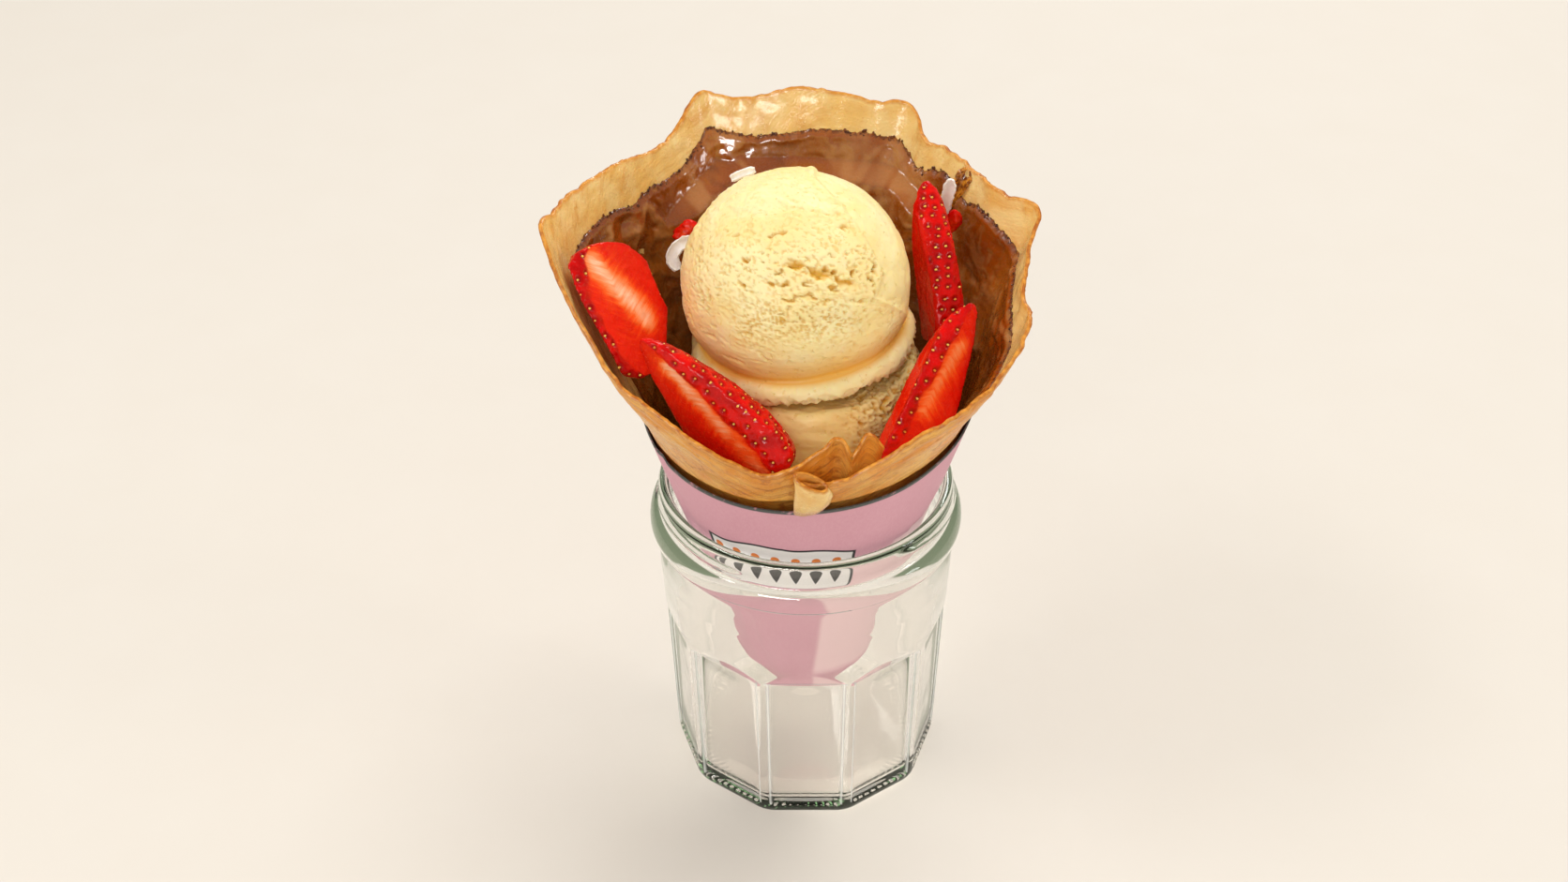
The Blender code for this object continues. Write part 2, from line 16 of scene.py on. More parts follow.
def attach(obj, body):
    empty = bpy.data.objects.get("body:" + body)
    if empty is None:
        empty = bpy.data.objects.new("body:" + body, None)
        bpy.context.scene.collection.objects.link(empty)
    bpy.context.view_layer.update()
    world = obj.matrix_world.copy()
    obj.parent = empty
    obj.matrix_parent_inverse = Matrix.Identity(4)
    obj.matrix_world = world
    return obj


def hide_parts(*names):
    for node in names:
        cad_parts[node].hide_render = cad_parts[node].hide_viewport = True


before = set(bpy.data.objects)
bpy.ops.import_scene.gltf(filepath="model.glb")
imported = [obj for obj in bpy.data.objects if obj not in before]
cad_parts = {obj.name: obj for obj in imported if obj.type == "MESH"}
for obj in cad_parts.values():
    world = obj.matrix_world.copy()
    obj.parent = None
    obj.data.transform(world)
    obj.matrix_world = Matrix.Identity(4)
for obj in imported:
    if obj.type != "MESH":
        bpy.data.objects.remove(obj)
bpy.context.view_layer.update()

# %% [markdown]
# ## Hands and eyes
# A Blender operator works on whatever is selected, so every step starts by deselecting everything and
# picking one piece. Two more helpers read a mesh's points as an array of millimetres and write them back,
# which is how the soft food forms are pushed into shape after a primitive has given them their topology.

# %% Small helpers for picking and shaping a piece
MM = 0.001


def pick(piece):
    """Select one piece and nothing else."""
    bpy.ops.object.select_all(action="DESELECT")
    piece.select_set(True)
    bpy.context.view_layer.objects.active = piece
    return piece


def named(name):
    """Give the newest object and its mesh a name."""
    piece = bpy.context.object
    piece.name = name
    piece.data.name = name
    return pick(piece)


def edit(piece):
    pick(piece)
    bpy.ops.object.mode_set(mode="EDIT")
    bpy.ops.mesh.select_all(action="SELECT")


def leave():
    bpy.ops.object.mode_set(mode="OBJECT")


def points_of(piece):
    """The piece's points in millimetres."""
    flat = np.empty(len(piece.data.vertices) * 3, np.float32)
    piece.data.vertices.foreach_get("co", flat)
    return flat.reshape(-1, 3).astype(float) / MM


def put(piece, points):
    """Move the piece's points to places in millimetres."""
    piece.data.vertices.foreach_set("co", (np.asarray(points) * MM).astype(np.float32).ravel())
    piece.data.update()


def keep_value(piece, name, values):
    """Store one number a point on the mesh, for the material to read."""
    layer = piece.data.attributes.get(name) or piece.data.attributes.new(name, "FLOAT", "POINT")
    layer.data.foreach_set("value", np.asarray(values, np.float32))


def smooth(piece, angle=180):
    pick(piece)
    bpy.ops.object.shade_smooth()
    if angle < 180:
        bpy.ops.object.shade_smooth_by_angle(angle=math.radians(angle))


def apply_all(piece):
    pick(piece)
    for modifier in list(piece.modifiers):
        bpy.ops.object.modifier_apply(modifier=modifier.name)


def place(piece, slot, *nodes):
    """The piece moves with the one body and stands for its CAD nodes, which are hidden. Its slot is not used."""
    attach(piece, "root")
    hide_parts(*nodes)
    size = np.ptp(points_of(piece), axis=0)
    print(f"{piece.name}: {len(piece.data.polygons)} faces, {size.round(1)} mm")


# %% Small helpers for numbers
def lerp(low, high, share):
    return low + (high - low) * share


def ease(share):
    share = np.clip(share, 0.0, 1.0)
    return share * share * (3 - 2 * share)


def bump(distance, width):
    """1 at no distance, falling smoothly to 0 at the width."""
    return ease(1 - np.abs(distance) / width)


def soft_min(a, b, blend):
    """The smaller of two, with the corner between them rounded off."""
    share = np.clip(0.5 + 0.5 * (b - a) / blend, 0.0, 1.0)
    return b * (1 - share) + a * share - blend * share * (1 - share)


SHUFFLED = np.tile(np.random.default_rng(11).permutation(256), 2)
SLANTS = np.random.default_rng(12).normal(size=(256, 3))
SLANTS /= np.linalg.norm(SLANTS, axis=1, keepdims=True)


def one_layer(points):
    """Smooth random noise: each whole-number corner has a slant of its own, blended between corners."""
    corner = np.floor(points).astype(int)
    within = points - corner
    fade = within ** 3 * (within * (within * 6 - 15) + 10)
    total = np.zeros(len(points))
    for x, y, z in np.ndindex(2, 2, 2):
        key = SHUFFLED[SHUFFLED[SHUFFLED[(corner[:, 0] + x) & 255] + ((corner[:, 1] + y) & 255)]
                       + ((corner[:, 2] + z) & 255)]
        share = np.abs(np.array([1 - x, 1 - y, 1 - z]) - fade).prod(axis=1)
        total += share * (SLANTS[key] * (within - (x, y, z))).sum(axis=1)
    return total * 1.6


def lumps(points, size, seed, layers=3, stretch=(1, 1, 1)):
    """A smooth random height at each point, about -1 to 1, with lumps of a size in millimetres."""
    scaled = np.asarray(points, float).reshape(-1, 3) / (np.array(stretch) * size) + seed * np.array([7.13, -3.71, 5.37])
    return sum(one_layer(scaled * 2 ** layer + layer * 17.3) / 2 ** layer for layer in range(layers))


def round_from(points):
    """Angle in degrees (0 at the front, 90 on the right) and distance from the jar's axis."""
    return np.degrees(np.arctan2(points[:, 0], -points[:, 1])), np.hypot(points[:, 0], points[:, 1])


def turned_to(angle, radius, height):
    turn = np.radians(angle)
    return np.stack([radius * np.sin(turn), -radius * np.cos(turn), height + 0 * turn], axis=-1)


# %% [markdown]
# ## Camera, floor and light
# The dessert was photographed from above at about 38 degrees, through a long lens that keeps the jar's
# sides nearly parallel. Under it is a plain pale floor. The light is soft: a bright sky all round, a broad
# overhead light, a fill from the front, and two small windows that draw the gloss on fruit and chocolate.


# %% Camera
WORLD_LIGHT = 0.70
OVERHEAD_LIGHT = 1.10
FRONT_FILL = 1.6
camera_data = bpy.data.cameras.new("camera")
camera = bpy.data.objects.new("camera", camera_data)
bpy.context.scene.collection.objects.link(camera)
camera.location = (0, -0.4709, 0.4530)
aim = Vector((0, 0, 0.090)) - camera.location
camera.rotation_euler = aim.to_track_quat("-Z", "Y").to_euler()
camera_data.sensor_width = 36
camera_data.lens = 36 * 2400 / 1672
camera_data.shift_x = -0.0139
camera_data.shift_y = 0.0243
bpy.context.scene.camera = camera

# %% Helpers for materials
def paint(red, green, blue):
    """A colour as a screen shows it, 0 to 255, turned into linear light."""
    shares = [c / 255 for c in (red, green, blue)]
    return (*[s / 12.92 if s <= 0.04045 else ((s + 0.055) / 1.055) ** 2.4 for s in shares], 1.0)


def new_material(name, **values):
    """A material with a Principled shader; keyword names use _ for a space."""
    material = bpy.data.materials.new(name)
    material.use_nodes = True
    shader = material.node_tree.nodes["Principled BSDF"]
    for key, value in values.items():
        shader.inputs[key.replace("_", " ")].default_value = value
    return material, material.node_tree, shader


def add(tree, kind, sockets=None, **settings):
    """Add a node: settings first, then each socket gets a link or a plain value."""
    made = tree.nodes.new(kind)
    for key, value in settings.items():
        setattr(made, key, value)
    for key, value in (sockets or {}).items():
        if isinstance(value, bpy.types.NodeSocket):
            tree.links.new(value, made.inputs[key])
        else:
            made.inputs[key].default_value = value
    return made


def maths(tree, operation, a, b=0.5, clamp=False):
    return add(tree, "ShaderNodeMath", {0: a, 1: b}, operation=operation, use_clamp=clamp).outputs[0]


def between(tree, value, low, high, to_low=0.0, to_high=1.0):
    """Stretch a value from one range to another, smoothly at the ends."""
    sockets = {"Value": value, "From Min": low, "From Max": high, "To Min": to_low, "To Max": to_high}
    return add(tree, "ShaderNodeMapRange", sockets, interpolation_type="SMOOTHSTEP").outputs[0]


def blend(tree, share, a, b, mode="MIX"):
    sockets = {0: share, 6: a, 7: b}
    return add(tree, "ShaderNodeMix", sockets, data_type="RGBA", blend_type=mode).outputs[2]


def ramp(tree, value, stops):
    """A colour ramp from (place, colour) stops."""
    made = add(tree, "ShaderNodeValToRGB", {"Fac": value})
    while len(made.color_ramp.elements) < len(stops):
        made.color_ramp.elements.new(0.5)
    for element, (place_on_ramp, colour) in zip(made.color_ramp.elements, stops):
        element.position = place_on_ramp
        element.color = colour
    return made.outputs["Color"]


def own(tree, name):
    """A number that was stored on the mesh."""
    return add(tree, "ShaderNodeAttribute", attribute_name=name).outputs["Fac"]


def here(tree, scale=(1, 1, 1), turn=(0, 0, 0), centre=(0, 0, 0)):
    """The place on the object in millimetres, moved, turned and squeezed."""
    place_on = add(tree, "ShaderNodeTexCoord").outputs["Object"]
    sockets = {"Vector": place_on, "Location": centre, "Rotation": turn, "Scale": [s / MM for s in scale]}
    return add(tree, "ShaderNodeMapping", sockets).outputs[0]


def grain(tree, vector, size, detail=3.0, roughness=0.55, distortion=0.0):
    """Noise whose lumps have a size in millimetres."""
    sockets = {"Vector": vector, "Scale": 1 / size, "Detail": detail, "Roughness": roughness,
               "Distortion": distortion}
    return add(tree, "ShaderNodeTexNoise", sockets).outputs["Fac"]


def relief(tree, height, depth, under=None):
    """Turn a height into a normal; depth is in millimetres."""
    sockets = {"Height": height, "Distance": depth * MM, "Strength": 1.0}
    if under is not None:
        sockets["Normal"] = under
    return add(tree, "ShaderNodeBump", sockets).outputs[0]


# %% Floor and light
bpy.ops.mesh.primitive_plane_add(size=6)
floor = named("floor")
floor_material, floor_tree, floor_shader = new_material("floor_paper", Roughness=0.9)
floor_shader.inputs["Specular IOR Level"].default_value = 0.05
floor_shade = grain(floor_tree, here(floor_tree), 30.0)
floor_colour = blend(floor_tree, floor_shade, paint(214, 207, 197), paint(216, 210, 201))
floor_tree.links.new(floor_colour, floor_shader.inputs["Base Color"])
floor.data.materials.append(floor_material)

world = bpy.data.worlds.new("studio")
bpy.context.scene.world = world
world.use_nodes = True
sky = world.node_tree.nodes["Background"]
sky.inputs["Color"].default_value = (1.0, 0.965, 0.91, 1)
# the dark room behind the lights: glossy surfaces mirror less of it than the light it gives
seen_by_gloss = world.node_tree.nodes.new("ShaderNodeLightPath").outputs["Is Glossy Ray"]
sky_strength = between(world.node_tree, seen_by_gloss, 0.0, 1.0, WORLD_LIGHT, WORLD_LIGHT * 0.4)
world.node_tree.links.new(sky_strength, sky.inputs["Strength"])


def lamp_from(name, kind, spot, power, **settings):
    """A light at a place, aimed at the dessert."""
    light = bpy.data.lights.new(name, kind)
    light.energy = power
    for key, value in settings.items():
        setattr(light, key, value)
    lamp = bpy.data.objects.new(name, light)
    bpy.context.scene.collection.objects.link(lamp)
    lamp.location = spot
    lamp.rotation_euler = (Vector((0, 0, 0.12)) - lamp.location).to_track_quat("-Z", "Y").to_euler()
    return lamp


overhead = lamp_from(
    "soft_overhead", "SUN", (0.22, 0.30, 1.2), OVERHEAD_LIGHT, angle=math.radians(34), color=(1, 0.99, 0.97))
# its broad mirror image would lie over everything as a grey veil; the windows give the gloss
overhead.visible_glossy = False
fill = lamp_from(
    "front_fill", "AREA", (-0.20, -0.80, 0.60), FRONT_FILL, shape="RECTANGLE", size=0.6, size_y=0.4,
    color=(1, 0.98, 0.94))
fill.visible_glossy = False
gloss_window = lamp_from("window_front", "AREA", (-0.26, -0.80, 0.36), 4.0, shape="RECTANGLE", size=0.42, size_y=0.16)
gloss_window.visible_diffuse = False
gloss_window.visible_transmission = False
lamp_from("window_right", "AREA", (0.72, -0.16, 0.36), 0.7, shape="RECTANGLE", size=0.12, size_y=0.20)
lamp_from("window_left", "AREA", (-0.55, -0.10, 0.85), 1.6, shape="RECTANGLE", size=0.30, size_y=0.16)
lamp_from("window_back", "AREA", (0.30, 0.80, 0.75), 2.2, shape="RECTANGLE", size=0.40, size_y=0.14)
bpy.context.scene.view_settings.view_transform = "Standard"
bpy.context.scene.view_settings.look = "None"
print("camera, floor and lights are set")

# %% [markdown]
# ## The glass jar
# A pressed glass jar is round at its neck, while its lower half has ten flat facets, outside and more softly
# inside. Where a facet meets the round shoulder it ends in a shallow arch. One way is to
# cut a turned jar with a ten-sided block, but that leaves knife edges, and pressed glass has soft ridges.
# So the wall's section is spun round the axis, and then each point is drawn in to the facet's plane with a
# soft minimum, which rounds every ridge the way molten glass does.

# %% Section of the jar's wall
# (radius, height) from the middle of the inner floor, over the lip, to the middle of the foot
JAR_INSIDE = [
    (0, 4.0), (14, 4.0), (30.5, 4.1), (32.6, 4.6), (33.7, 5.8), (34.2, 8.0), (34.5, 24), (34.9, 45), (35.2, 54),
    (35.6, 62), (35.9, 72), (35.6, 82), (35.5, 88), (35.7, 90.4),
]
JAR_LIP = [(36.1, 91.4), (37.0, 91.95), (38.0, 91.8), (38.8, 91.1), (39.0, 90.0)]
JAR_OUTSIDE = [
    (38.9, 85.4), (39.2, 84.5), (40.2, 83.9), (41.0, 82.8), (41.45, 81.0), (41.4, 79.2), (40.8, 77.9), (39.7, 77.0),
    (39.0, 76.2), (39.15, 74), (39.3, 71), (39.2, 66), (38.9, 60), (38.5, 54), (38.1, 45), (36.2, 3), (35.7, 1.0),
    (34.9, 0.25), (33.8, 0.0),
]
JAR_FOOT = [(30.5, 0.0), (27.5, 0.15), (25.5, 0.7), (22, 1.05), (10, 1.1), (0, 1.1)]


def even_chain(table, step):
    """Points along a table of corners, with their corners rounded and a step in millimetres between them."""
    chain = np.array(table, float)
    for _ in range(3):
        first, last = chain[:1], chain[-1:]
        near, far = chain[:-1] * 0.75 + chain[1:] * 0.25, chain[:-1] * 0.25 + chain[1:] * 0.75
        chain = np.concatenate([first, np.stack([near, far], 1).reshape(-1, 2), last])
    along = np.concatenate([[0], np.cumsum(np.hypot(*np.diff(chain, axis=0).T))])
    count = max(2, round(along[-1] / step))
    spots = np.linspace(0, along[-1], count + 1)
    return np.stack([np.interp(spots, along, chain[:, 0]), np.interp(spots, along, chain[:, 1])], 1)


upper = [row for row in JAR_OUTSIDE if row[1] > 60]
lower = [row for row in JAR_OUTSIDE if row[1] <= 60]
section = np.concatenate([
    even_chain(JAR_INSIDE[:3], 2.2), even_chain(JAR_INSIDE[2:7], 0.7)[1:], even_chain(JAR_INSIDE[6:], 2.0)[1:],
    even_chain([JAR_INSIDE[-1]] + JAR_LIP + upper, 0.42)[1:],
    even_chain([upper[-1], (38.5, 54), (38.1, 45)], 0.55)[1:], even_chain([(38.1, 45), (36.4, 7)], 2.4)[1:],
    even_chain([(36.4, 7), (36.2, 3), (35.7, 1.0), (34.9, 0.25), (33.8, 0)], 0.45)[1:],
    even_chain([(33.8, 0)] + JAR_FOOT, 1.4)[1:],
])
section[[0, -1], 0] = 0
print("points in the section:", len(section))

# %% Spin the section into a jar
SPIN_STEPS = 360
bpy.ops.mesh.primitive_circle_add(vertices=len(section), radius=0.04, fill_type="NOTHING")
jar = named("glass_jar")
put(jar, np.stack([section[:, 0], 0 * section[:, 0], section[:, 1]], 1))
edit(jar)
bpy.ops.mesh.select_all(action="DESELECT")
leave()
for end in (0, len(section) - 1):
    jar.data.vertices[end].select = True
for edge in jar.data.edges:
    edge.select = set(edge.vertices) == {0, len(section) - 1}
bpy.ops.object.mode_set(mode="EDIT")
bpy.ops.mesh.select_mode(type="EDGE")
bpy.ops.mesh.delete(type="EDGE")
bpy.ops.mesh.select_mode(type="VERT")
bpy.ops.mesh.select_all(action="SELECT")
bpy.ops.mesh.spin(steps=SPIN_STEPS, angle=math.tau, center=(0, 0, 0), axis=(0, 0, 1))
bpy.ops.mesh.select_all(action="SELECT")
bpy.ops.mesh.remove_doubles(threshold=0.00001)
bpy.ops.mesh.normals_make_consistent(inside=False)
leave()
print("jar points:", len(jar.data.vertices))

# %% Press the facets, the thread lugs and the knurled foot
# The spin's steps are drawn together towards the ten ridges. Each facet is a panel, sunk a little inside
# a narrow frame along its ridges, its arch and the foot.
FACETS = 10
FACET_LEAN = [(0, 34.75), (2, 34.8), (49.5, 36.4), (54.5, 38.7), (58, 41.5), (100, 60)]
PANEL_DEPTH, PANEL_FRAME, PANEL_FOOT = 0.6, 1.3, 3.0
WALL = 2.0
LUGS = [(-84, -22, 89.4, 86.2), (36, 98, 89.4, 86.2), (156, 218, 89.4, 86.2)]
KNURLS = 90


def wall_radius(table, height):
    rows = np.array(sorted(table, key=lambda row: row[1]))
    return np.interp(height, rows[:, 1], rows[:, 0])


def press_jar(points):
    angle, radius = round_from(points)
    angle = angle + 2.6 * np.sin(np.radians(angle * FACETS))
    height = points[:, 2]
    inside = wall_radius(JAR_INSIDE[5:], height)
    outside = wall_radius(JAR_OUTSIDE, height)
    outer = (radius > (inside + outside) / 2) | (height < 2.5)
    flat = np.interp(height, *np.array(FACET_LEAN).T)
    turn = np.radians((angle + 180 / FACETS) % (360 / FACETS) - 180 / FACETS)
    rounding = np.interp(height, [44, 52, 60], [0.36, 0.34, 0.3])
    pressed = soft_min(outside, flat / np.cos(turn), rounding)
    from_ridge = flat * (math.tan(math.pi / FACETS) - np.abs(np.tan(turn)))
    panel = ease((from_ridge - PANEL_FRAME) / 0.8) * ease((50.4 - height) / 1.2)
    pressed = pressed - PANEL_DEPTH * panel * ease((height - PANEL_FOOT) / 1.2)
    # glint marks the panel corners and the arch's ledge, where the glass gets painted highlight lines
    corner = bump(from_ridge - PANEL_FRAME - 0.3, 0.5)
    ledge = bump(height - 50.0, 0.7) * ease((from_ridge - 0.4) / 0.8)
    glint = np.maximum(corner * (height > 3.4) * (height < 50.5), ledge) * outer
    keep_value(jar, "glint", glint)
    radius = np.where(outer & (height > 3) & (height < 64), radius - outside + pressed, radius)
    inner_share = lerp(1, soft_min(inside, (flat - WALL) / np.cos(turn), 0.5) / inside, ease((49 - height) / 5))
    radius = np.where(~outer & (height < 64), radius * lerp(1, inner_share, ease((radius - 18) / 13)), radius)
    foot_share = soft_min(36.15 + 0 * turn, 34.85 / np.cos(turn), 0.36) / 36.15
    radius = np.where(height <= 3, radius * lerp(1, foot_share, ease((radius - 20) / 13)), radius)
    for start, end, start_height, end_height in LUGS:
        share = ((angle - start) % 360) / (end - start)
        along = np.where(share <= 1, np.minimum(1, np.minimum(share, 1 - share) * 7), 0)
        away = (height - lerp(start_height, end_height, share)) / 1.15
        radius = radius + 0.85 * along * np.sqrt(np.clip(1 - away ** 2, 0, 1)) * outer
    ripple = lumps(points, 16.0, 1, 2, (1, 1, 1.6))
    radius = radius + 0.05 * ripple * (radius > 10) * (height < 76) * np.where(outer, 0.3, 1.0)
    ring = bump(radius - 30.0, 2.4) * (height < 0.6)
    knurl = ring * np.maximum(0, np.cos(np.radians(angle) * KNURLS)) * 0.35
    turn = np.radians(angle)
    return np.stack([radius * np.sin(turn), -radius * np.cos(turn), height + knurl], 1)


put(jar, press_jar(points_of(jar)))
smooth(jar)

# %% [markdown]
# Clear glass is all in its shader: full transmission and an index of 1.5. Its green tinge only shows where
# light has a long way through it, at ridges, lip and foot, so most of the colour is an absorption inside the
# glass. Light let out after many bounces is tinted dark green as painted shade, and fine white lines along the
# pressed corners are painted highlights. Shadow rays pass a plain transparent shader, or the jar would darken what it
# holds.

# %% Glass
glass, glass_tree, glass_shader = new_material("jar_glass", Roughness=0.0, IOR=1.5, Transmission_Weight=1.0)
glass_shader.inputs["Base Color"].default_value = (1, 1, 1, 1)
glass_output = glass_tree.nodes["Material Output"]
light_path = add(glass_tree, "ShaderNodeLightPath")
# light that has been thrown to and fro in the thick foot is let out, or it would end as black
tired = maths(glass_tree, "GREATER_THAN", light_path.outputs["Glossy Depth"], 2.5)
# and the far wall is seen through the near one only faintly, or its mirror images fill the jar
far_wall = maths(glass_tree, "GREATER_THAN", light_path.outputs["Transmission Depth"], 1.5)
far_wall = maths(glass_tree, "MULTIPLY", far_wall, 0.72)
passing = maths(glass_tree, "MAXIMUM", light_path.outputs["Is Shadow Ray"], maths(glass_tree, "MAXIMUM", tired, far_wall))
# painted shade: rays let out after many bounces in the thick glass are tinted dark green, for the dark lines at ridges,
# lip and foot; other passing rays stay near clear
tired_shade_tint = blend(glass_tree, tired, (0.985, 0.975, 0.965, 1), (0.30, 0.37, 0.28, 1))
see_through = add(glass_tree, "ShaderNodeBsdfTransparent", {"Color": tired_shade_tint})
# painted highlight: a white diffuse shader is mixed in along the pressed corners as fine white lines, for the light
# they catch
painted_highlight_lines = add(glass_tree, "ShaderNodeBsdfDiffuse", {"Color": (0.93, 0.94, 0.92, 1)})
highlight_line_share = maths(glass_tree, "MULTIPLY", own(glass_tree, "glint"), 0.7)
with_highlight_lines = add(glass_tree, "ShaderNodeMixShader", {0: highlight_line_share, 1: glass_shader.outputs[0], 2: painted_highlight_lines.outputs[0]})
glass_mix = add(glass_tree, "ShaderNodeMixShader", {0: passing, 1: with_highlight_lines.outputs[0], 2: see_through.outputs[0]})
glass_tree.links.new(glass_mix.outputs[0], glass_output.inputs["Surface"])
tinge = add(glass_tree, "ShaderNodeVolumeAbsorption", {"Color": (0.64, 0.77, 0.62, 1), "Density": 14.0})
glass_tree.links.new(tinge.outputs[0], glass_output.inputs["Volume"])
seeds_in_glass = grain(glass_tree, here(glass_tree), 14.0, 2.0)
glass_tree.links.new(relief(glass_tree, seeds_in_glass, 0.06), glass_shader.inputs["Normal"])
jar.data.materials.append(glass)
place(jar, "jar_glass", "jar")

# %% [markdown]
# ## The paper sleeve
# The sleeve is a strip of thin pink card rolled into a cone, its mouth cut on a slant so that it stands
# higher behind and its lower end tucked in to a blunt tip. It could be a cone primitive and nothing more,
# but card shows where it was rolled: the free end lies over the rest in a slanting step, and a soft crease
# runs down the other side. The cone is bisected by the mouth's plane, the step and the crease are pushed in,
# and Solidify gives the card its thickness.

# %% Roll the card
CONE_APEX = -20.0
PAPER_SLOPE = 0.313
PAPER_FOOT = 22.6
# (height, radius) of the lower end, where the card is tucked in
CARD_END = [(22.6, 3.6), (23.4, 5.8), (24.6, 8.0), (28.0, 11.0), (33.0, 14.6), (38.0, 18.15)]
PAPER_THICKNESS = 0.4
MOUTH_HEIGHT, MOUTH_RISE_X, MOUTH_RISE_Y = 118.3, 0.057, 0.173
CARD_TOP = 134.0


def cone_radius(height):
    return (height - CONE_APEX) * PAPER_SLOPE


def mouth_height(angle):
    turn = np.radians(angle)
    rise = MOUTH_RISE_X * np.sin(turn) - MOUTH_RISE_Y * np.cos(turn)
    return (MOUTH_HEIGHT + rise * PAPER_SLOPE * -CONE_APEX) / (1 - rise * PAPER_SLOPE)


bpy.ops.mesh.primitive_cone_add(
    vertices=300, radius1=cone_radius(PAPER_FOOT) * MM, radius2=cone_radius(CARD_TOP) * MM,
    depth=(CARD_TOP - PAPER_FOOT) * MM, end_fill_type="NOTHING",
    location=(0, 0, (CARD_TOP + PAPER_FOOT) / 2 * MM))
sleeve = named("pink_sleeve")
bpy.ops.object.transform_apply(location=True, rotation=True, scale=True)
edit(sleeve)
bpy.ops.mesh.select_mode(type="EDGE")
bpy.ops.mesh.select_all(action="DESELECT")
leave()
for edge in sleeve.data.edges:
    ends = [sleeve.data.vertices[i].co.z for i in edge.vertices]
    edge.select = abs(ends[0] - ends[1]) > 0.01
bpy.ops.object.mode_set(mode="EDIT")
bpy.ops.mesh.subdivide(number_cuts=80)
bpy.ops.mesh.select_all(action="SELECT")
bpy.ops.mesh.bisect(
    plane_co=(0, 0, MOUTH_HEIGHT * MM), plane_no=(-MOUTH_RISE_X, -MOUTH_RISE_Y, 1), clear_outer=True)
leave()
print("card points:", len(sleeve.data.vertices))

# %% Press in the overlap, the crease and a slight wave
# (angle, height) of the step where the free end lies over the rest, and of the soft crease
OVERLAP = [(6, 38), (12, 87), (18.5, 89.3), (39, 89.8), (59, 92.7), (70, 97), (84, 106), (100, 122)]
CREASE = [(-64, 126), (-57, 93.8), (-40, 60), (-32, 38)]


def crumple_card(points):
    angle, radius = round_from(points)
    height = points[:, 2]
    tucked = np.interp(height, *np.array(CARD_END).T)
    radius = np.where(height < CARD_END[-1][0], radius * tucked / cone_radius(height), radius)
    step = np.interp(height, [row[1] for row in OVERLAP], [row[0] for row in OVERLAP])
    near_step = (angle - step) * radius * math.pi / 180
    beyond = ease(near_step / 1.8 + 0.5) * ease((160 - angle) / 2.0) * ease((height - 38) / 2.0)
    radius = radius - 0.35 * beyond
    crease = np.interp(height, [row[1] for row in CREASE[::-1]], [row[0] for row in CREASE[::-1]])
    radius = radius - 0.45 * bump((angle - crease) * radius * math.pi / 180, 3.0)
    radius = radius + 0.22 * lumps(points, 26.0, 4, 2, (1, 1, 2.5)) * ease((height - 30) / 14)
    below_mouth = mouth_height(angle) - height
    keep_value(sleeve, "below_mouth", np.clip(below_mouth, 0, 60))
    keep_value(sleeve, "overlap", beyond)
    return turned_to(angle, radius, height)


put(sleeve, crumple_card(points_of(sleeve)))

# %% Close the foot and thicken the card
edit(sleeve)
bpy.ops.mesh.select_all(action="DESELECT")
leave()
for edge in sleeve.data.edges:
    ends = [sleeve.data.vertices[i].co.z for i in edge.vertices]
    edge.select = max(ends) < (PAPER_FOOT + 0.1) * MM
bpy.ops.object.mode_set(mode="EDIT")
for gather in (0.7, 0.5, 0.4):
    bpy.ops.mesh.extrude_region_move()
    bpy.ops.transform.resize(value=(gather, gather, 1), center_override=(0, 0, PAPER_FOOT * MM))
    bpy.ops.transform.translate(value=(0, 0, -0.0002))
bpy.ops.mesh.edge_face_add()
leave()
card = sleeve.modifiers.new("card", "SOLIDIFY")
card.thickness = PAPER_THICKNESS * MM
card.offset = -1
apply_all(sleeve)
smooth(sleeve, 50)

# %% A layout for the label
# Each point keeps its distance round the cone and down from the mouth, in millimetres, as a UV map, so
# that the print follows the card.
layout = sleeve.data.uv_layers.new(name="print")
sleeve_points = points_of(sleeve)
sleeve_angle, sleeve_radius = round_from(sleeve_points)
loops = np.empty(len(sleeve.data.loops), np.int32)
sleeve.data.loops.foreach_get("vertex_index", loops)
sheet = np.stack([np.radians(sleeve_angle) * 36.0, sleeve_points[:, 2]], 1) / 100
layout.data.foreach_set("uv", sheet[loops].astype(np.float32).ravel())

# %% [markdown]
# The label is a white band with a dark outline, mostly hidden behind the jar's lip. It carries a made-up
# row of dots and darts in orange and black, of the size and strength that a printed label has here.

# %% Printed card
card_material, tree, shader = new_material("sleeve_card", Roughness=0.55)
shader.inputs["Specular IOR Level"].default_value = 0.35
flat_map = add(tree, "ShaderNodeUVMap", uv_map="print").outputs[0]
parts = add(tree, "ShaderNodeSeparateXYZ", {0: flat_map})
across = maths(tree, "MULTIPLY", parts.outputs[0], 100.0)
up = maths(tree, "MULTIPLY", parts.outputs[1], 100.0)
cloud = grain(tree, here(tree), 22.0, 2.0)
fibre = grain(tree, here(tree, (1, 1, 0.35)), 0.5, 2.0)
pink = blend(tree, cloud, paint(206, 147, 162), paint(220, 165, 179))
pink = blend(tree, maths(tree, "MULTIPLY", own(tree, "overlap"), 0.85), pink, paint(242, 210, 211))
pink = blend(tree, between(tree, fibre, 0.35, 0.75, 0.0, 0.10), pink, paint(240, 205, 214))
edge_line = between(tree, own(tree, "below_mouth"), 0.75, 1.25, 1.0, 0.0)
edge_line = maths(tree, "MULTIPLY", edge_line, between(tree, grain(tree, here(tree), 1.6), 0.2, 0.45))
pink = blend(tree, edge_line, pink, paint(78, 84, 82))


def band_mask(low_line, high_line, soft=0.12):
    """1 between two heights that are themselves values."""
    over = between(tree, maths(tree, "SUBTRACT", up, low_line), -soft, soft)
    under = between(tree, maths(tree, "SUBTRACT", high_line, up), -soft, soft)
    return maths(tree, "MULTIPLY", over, under)


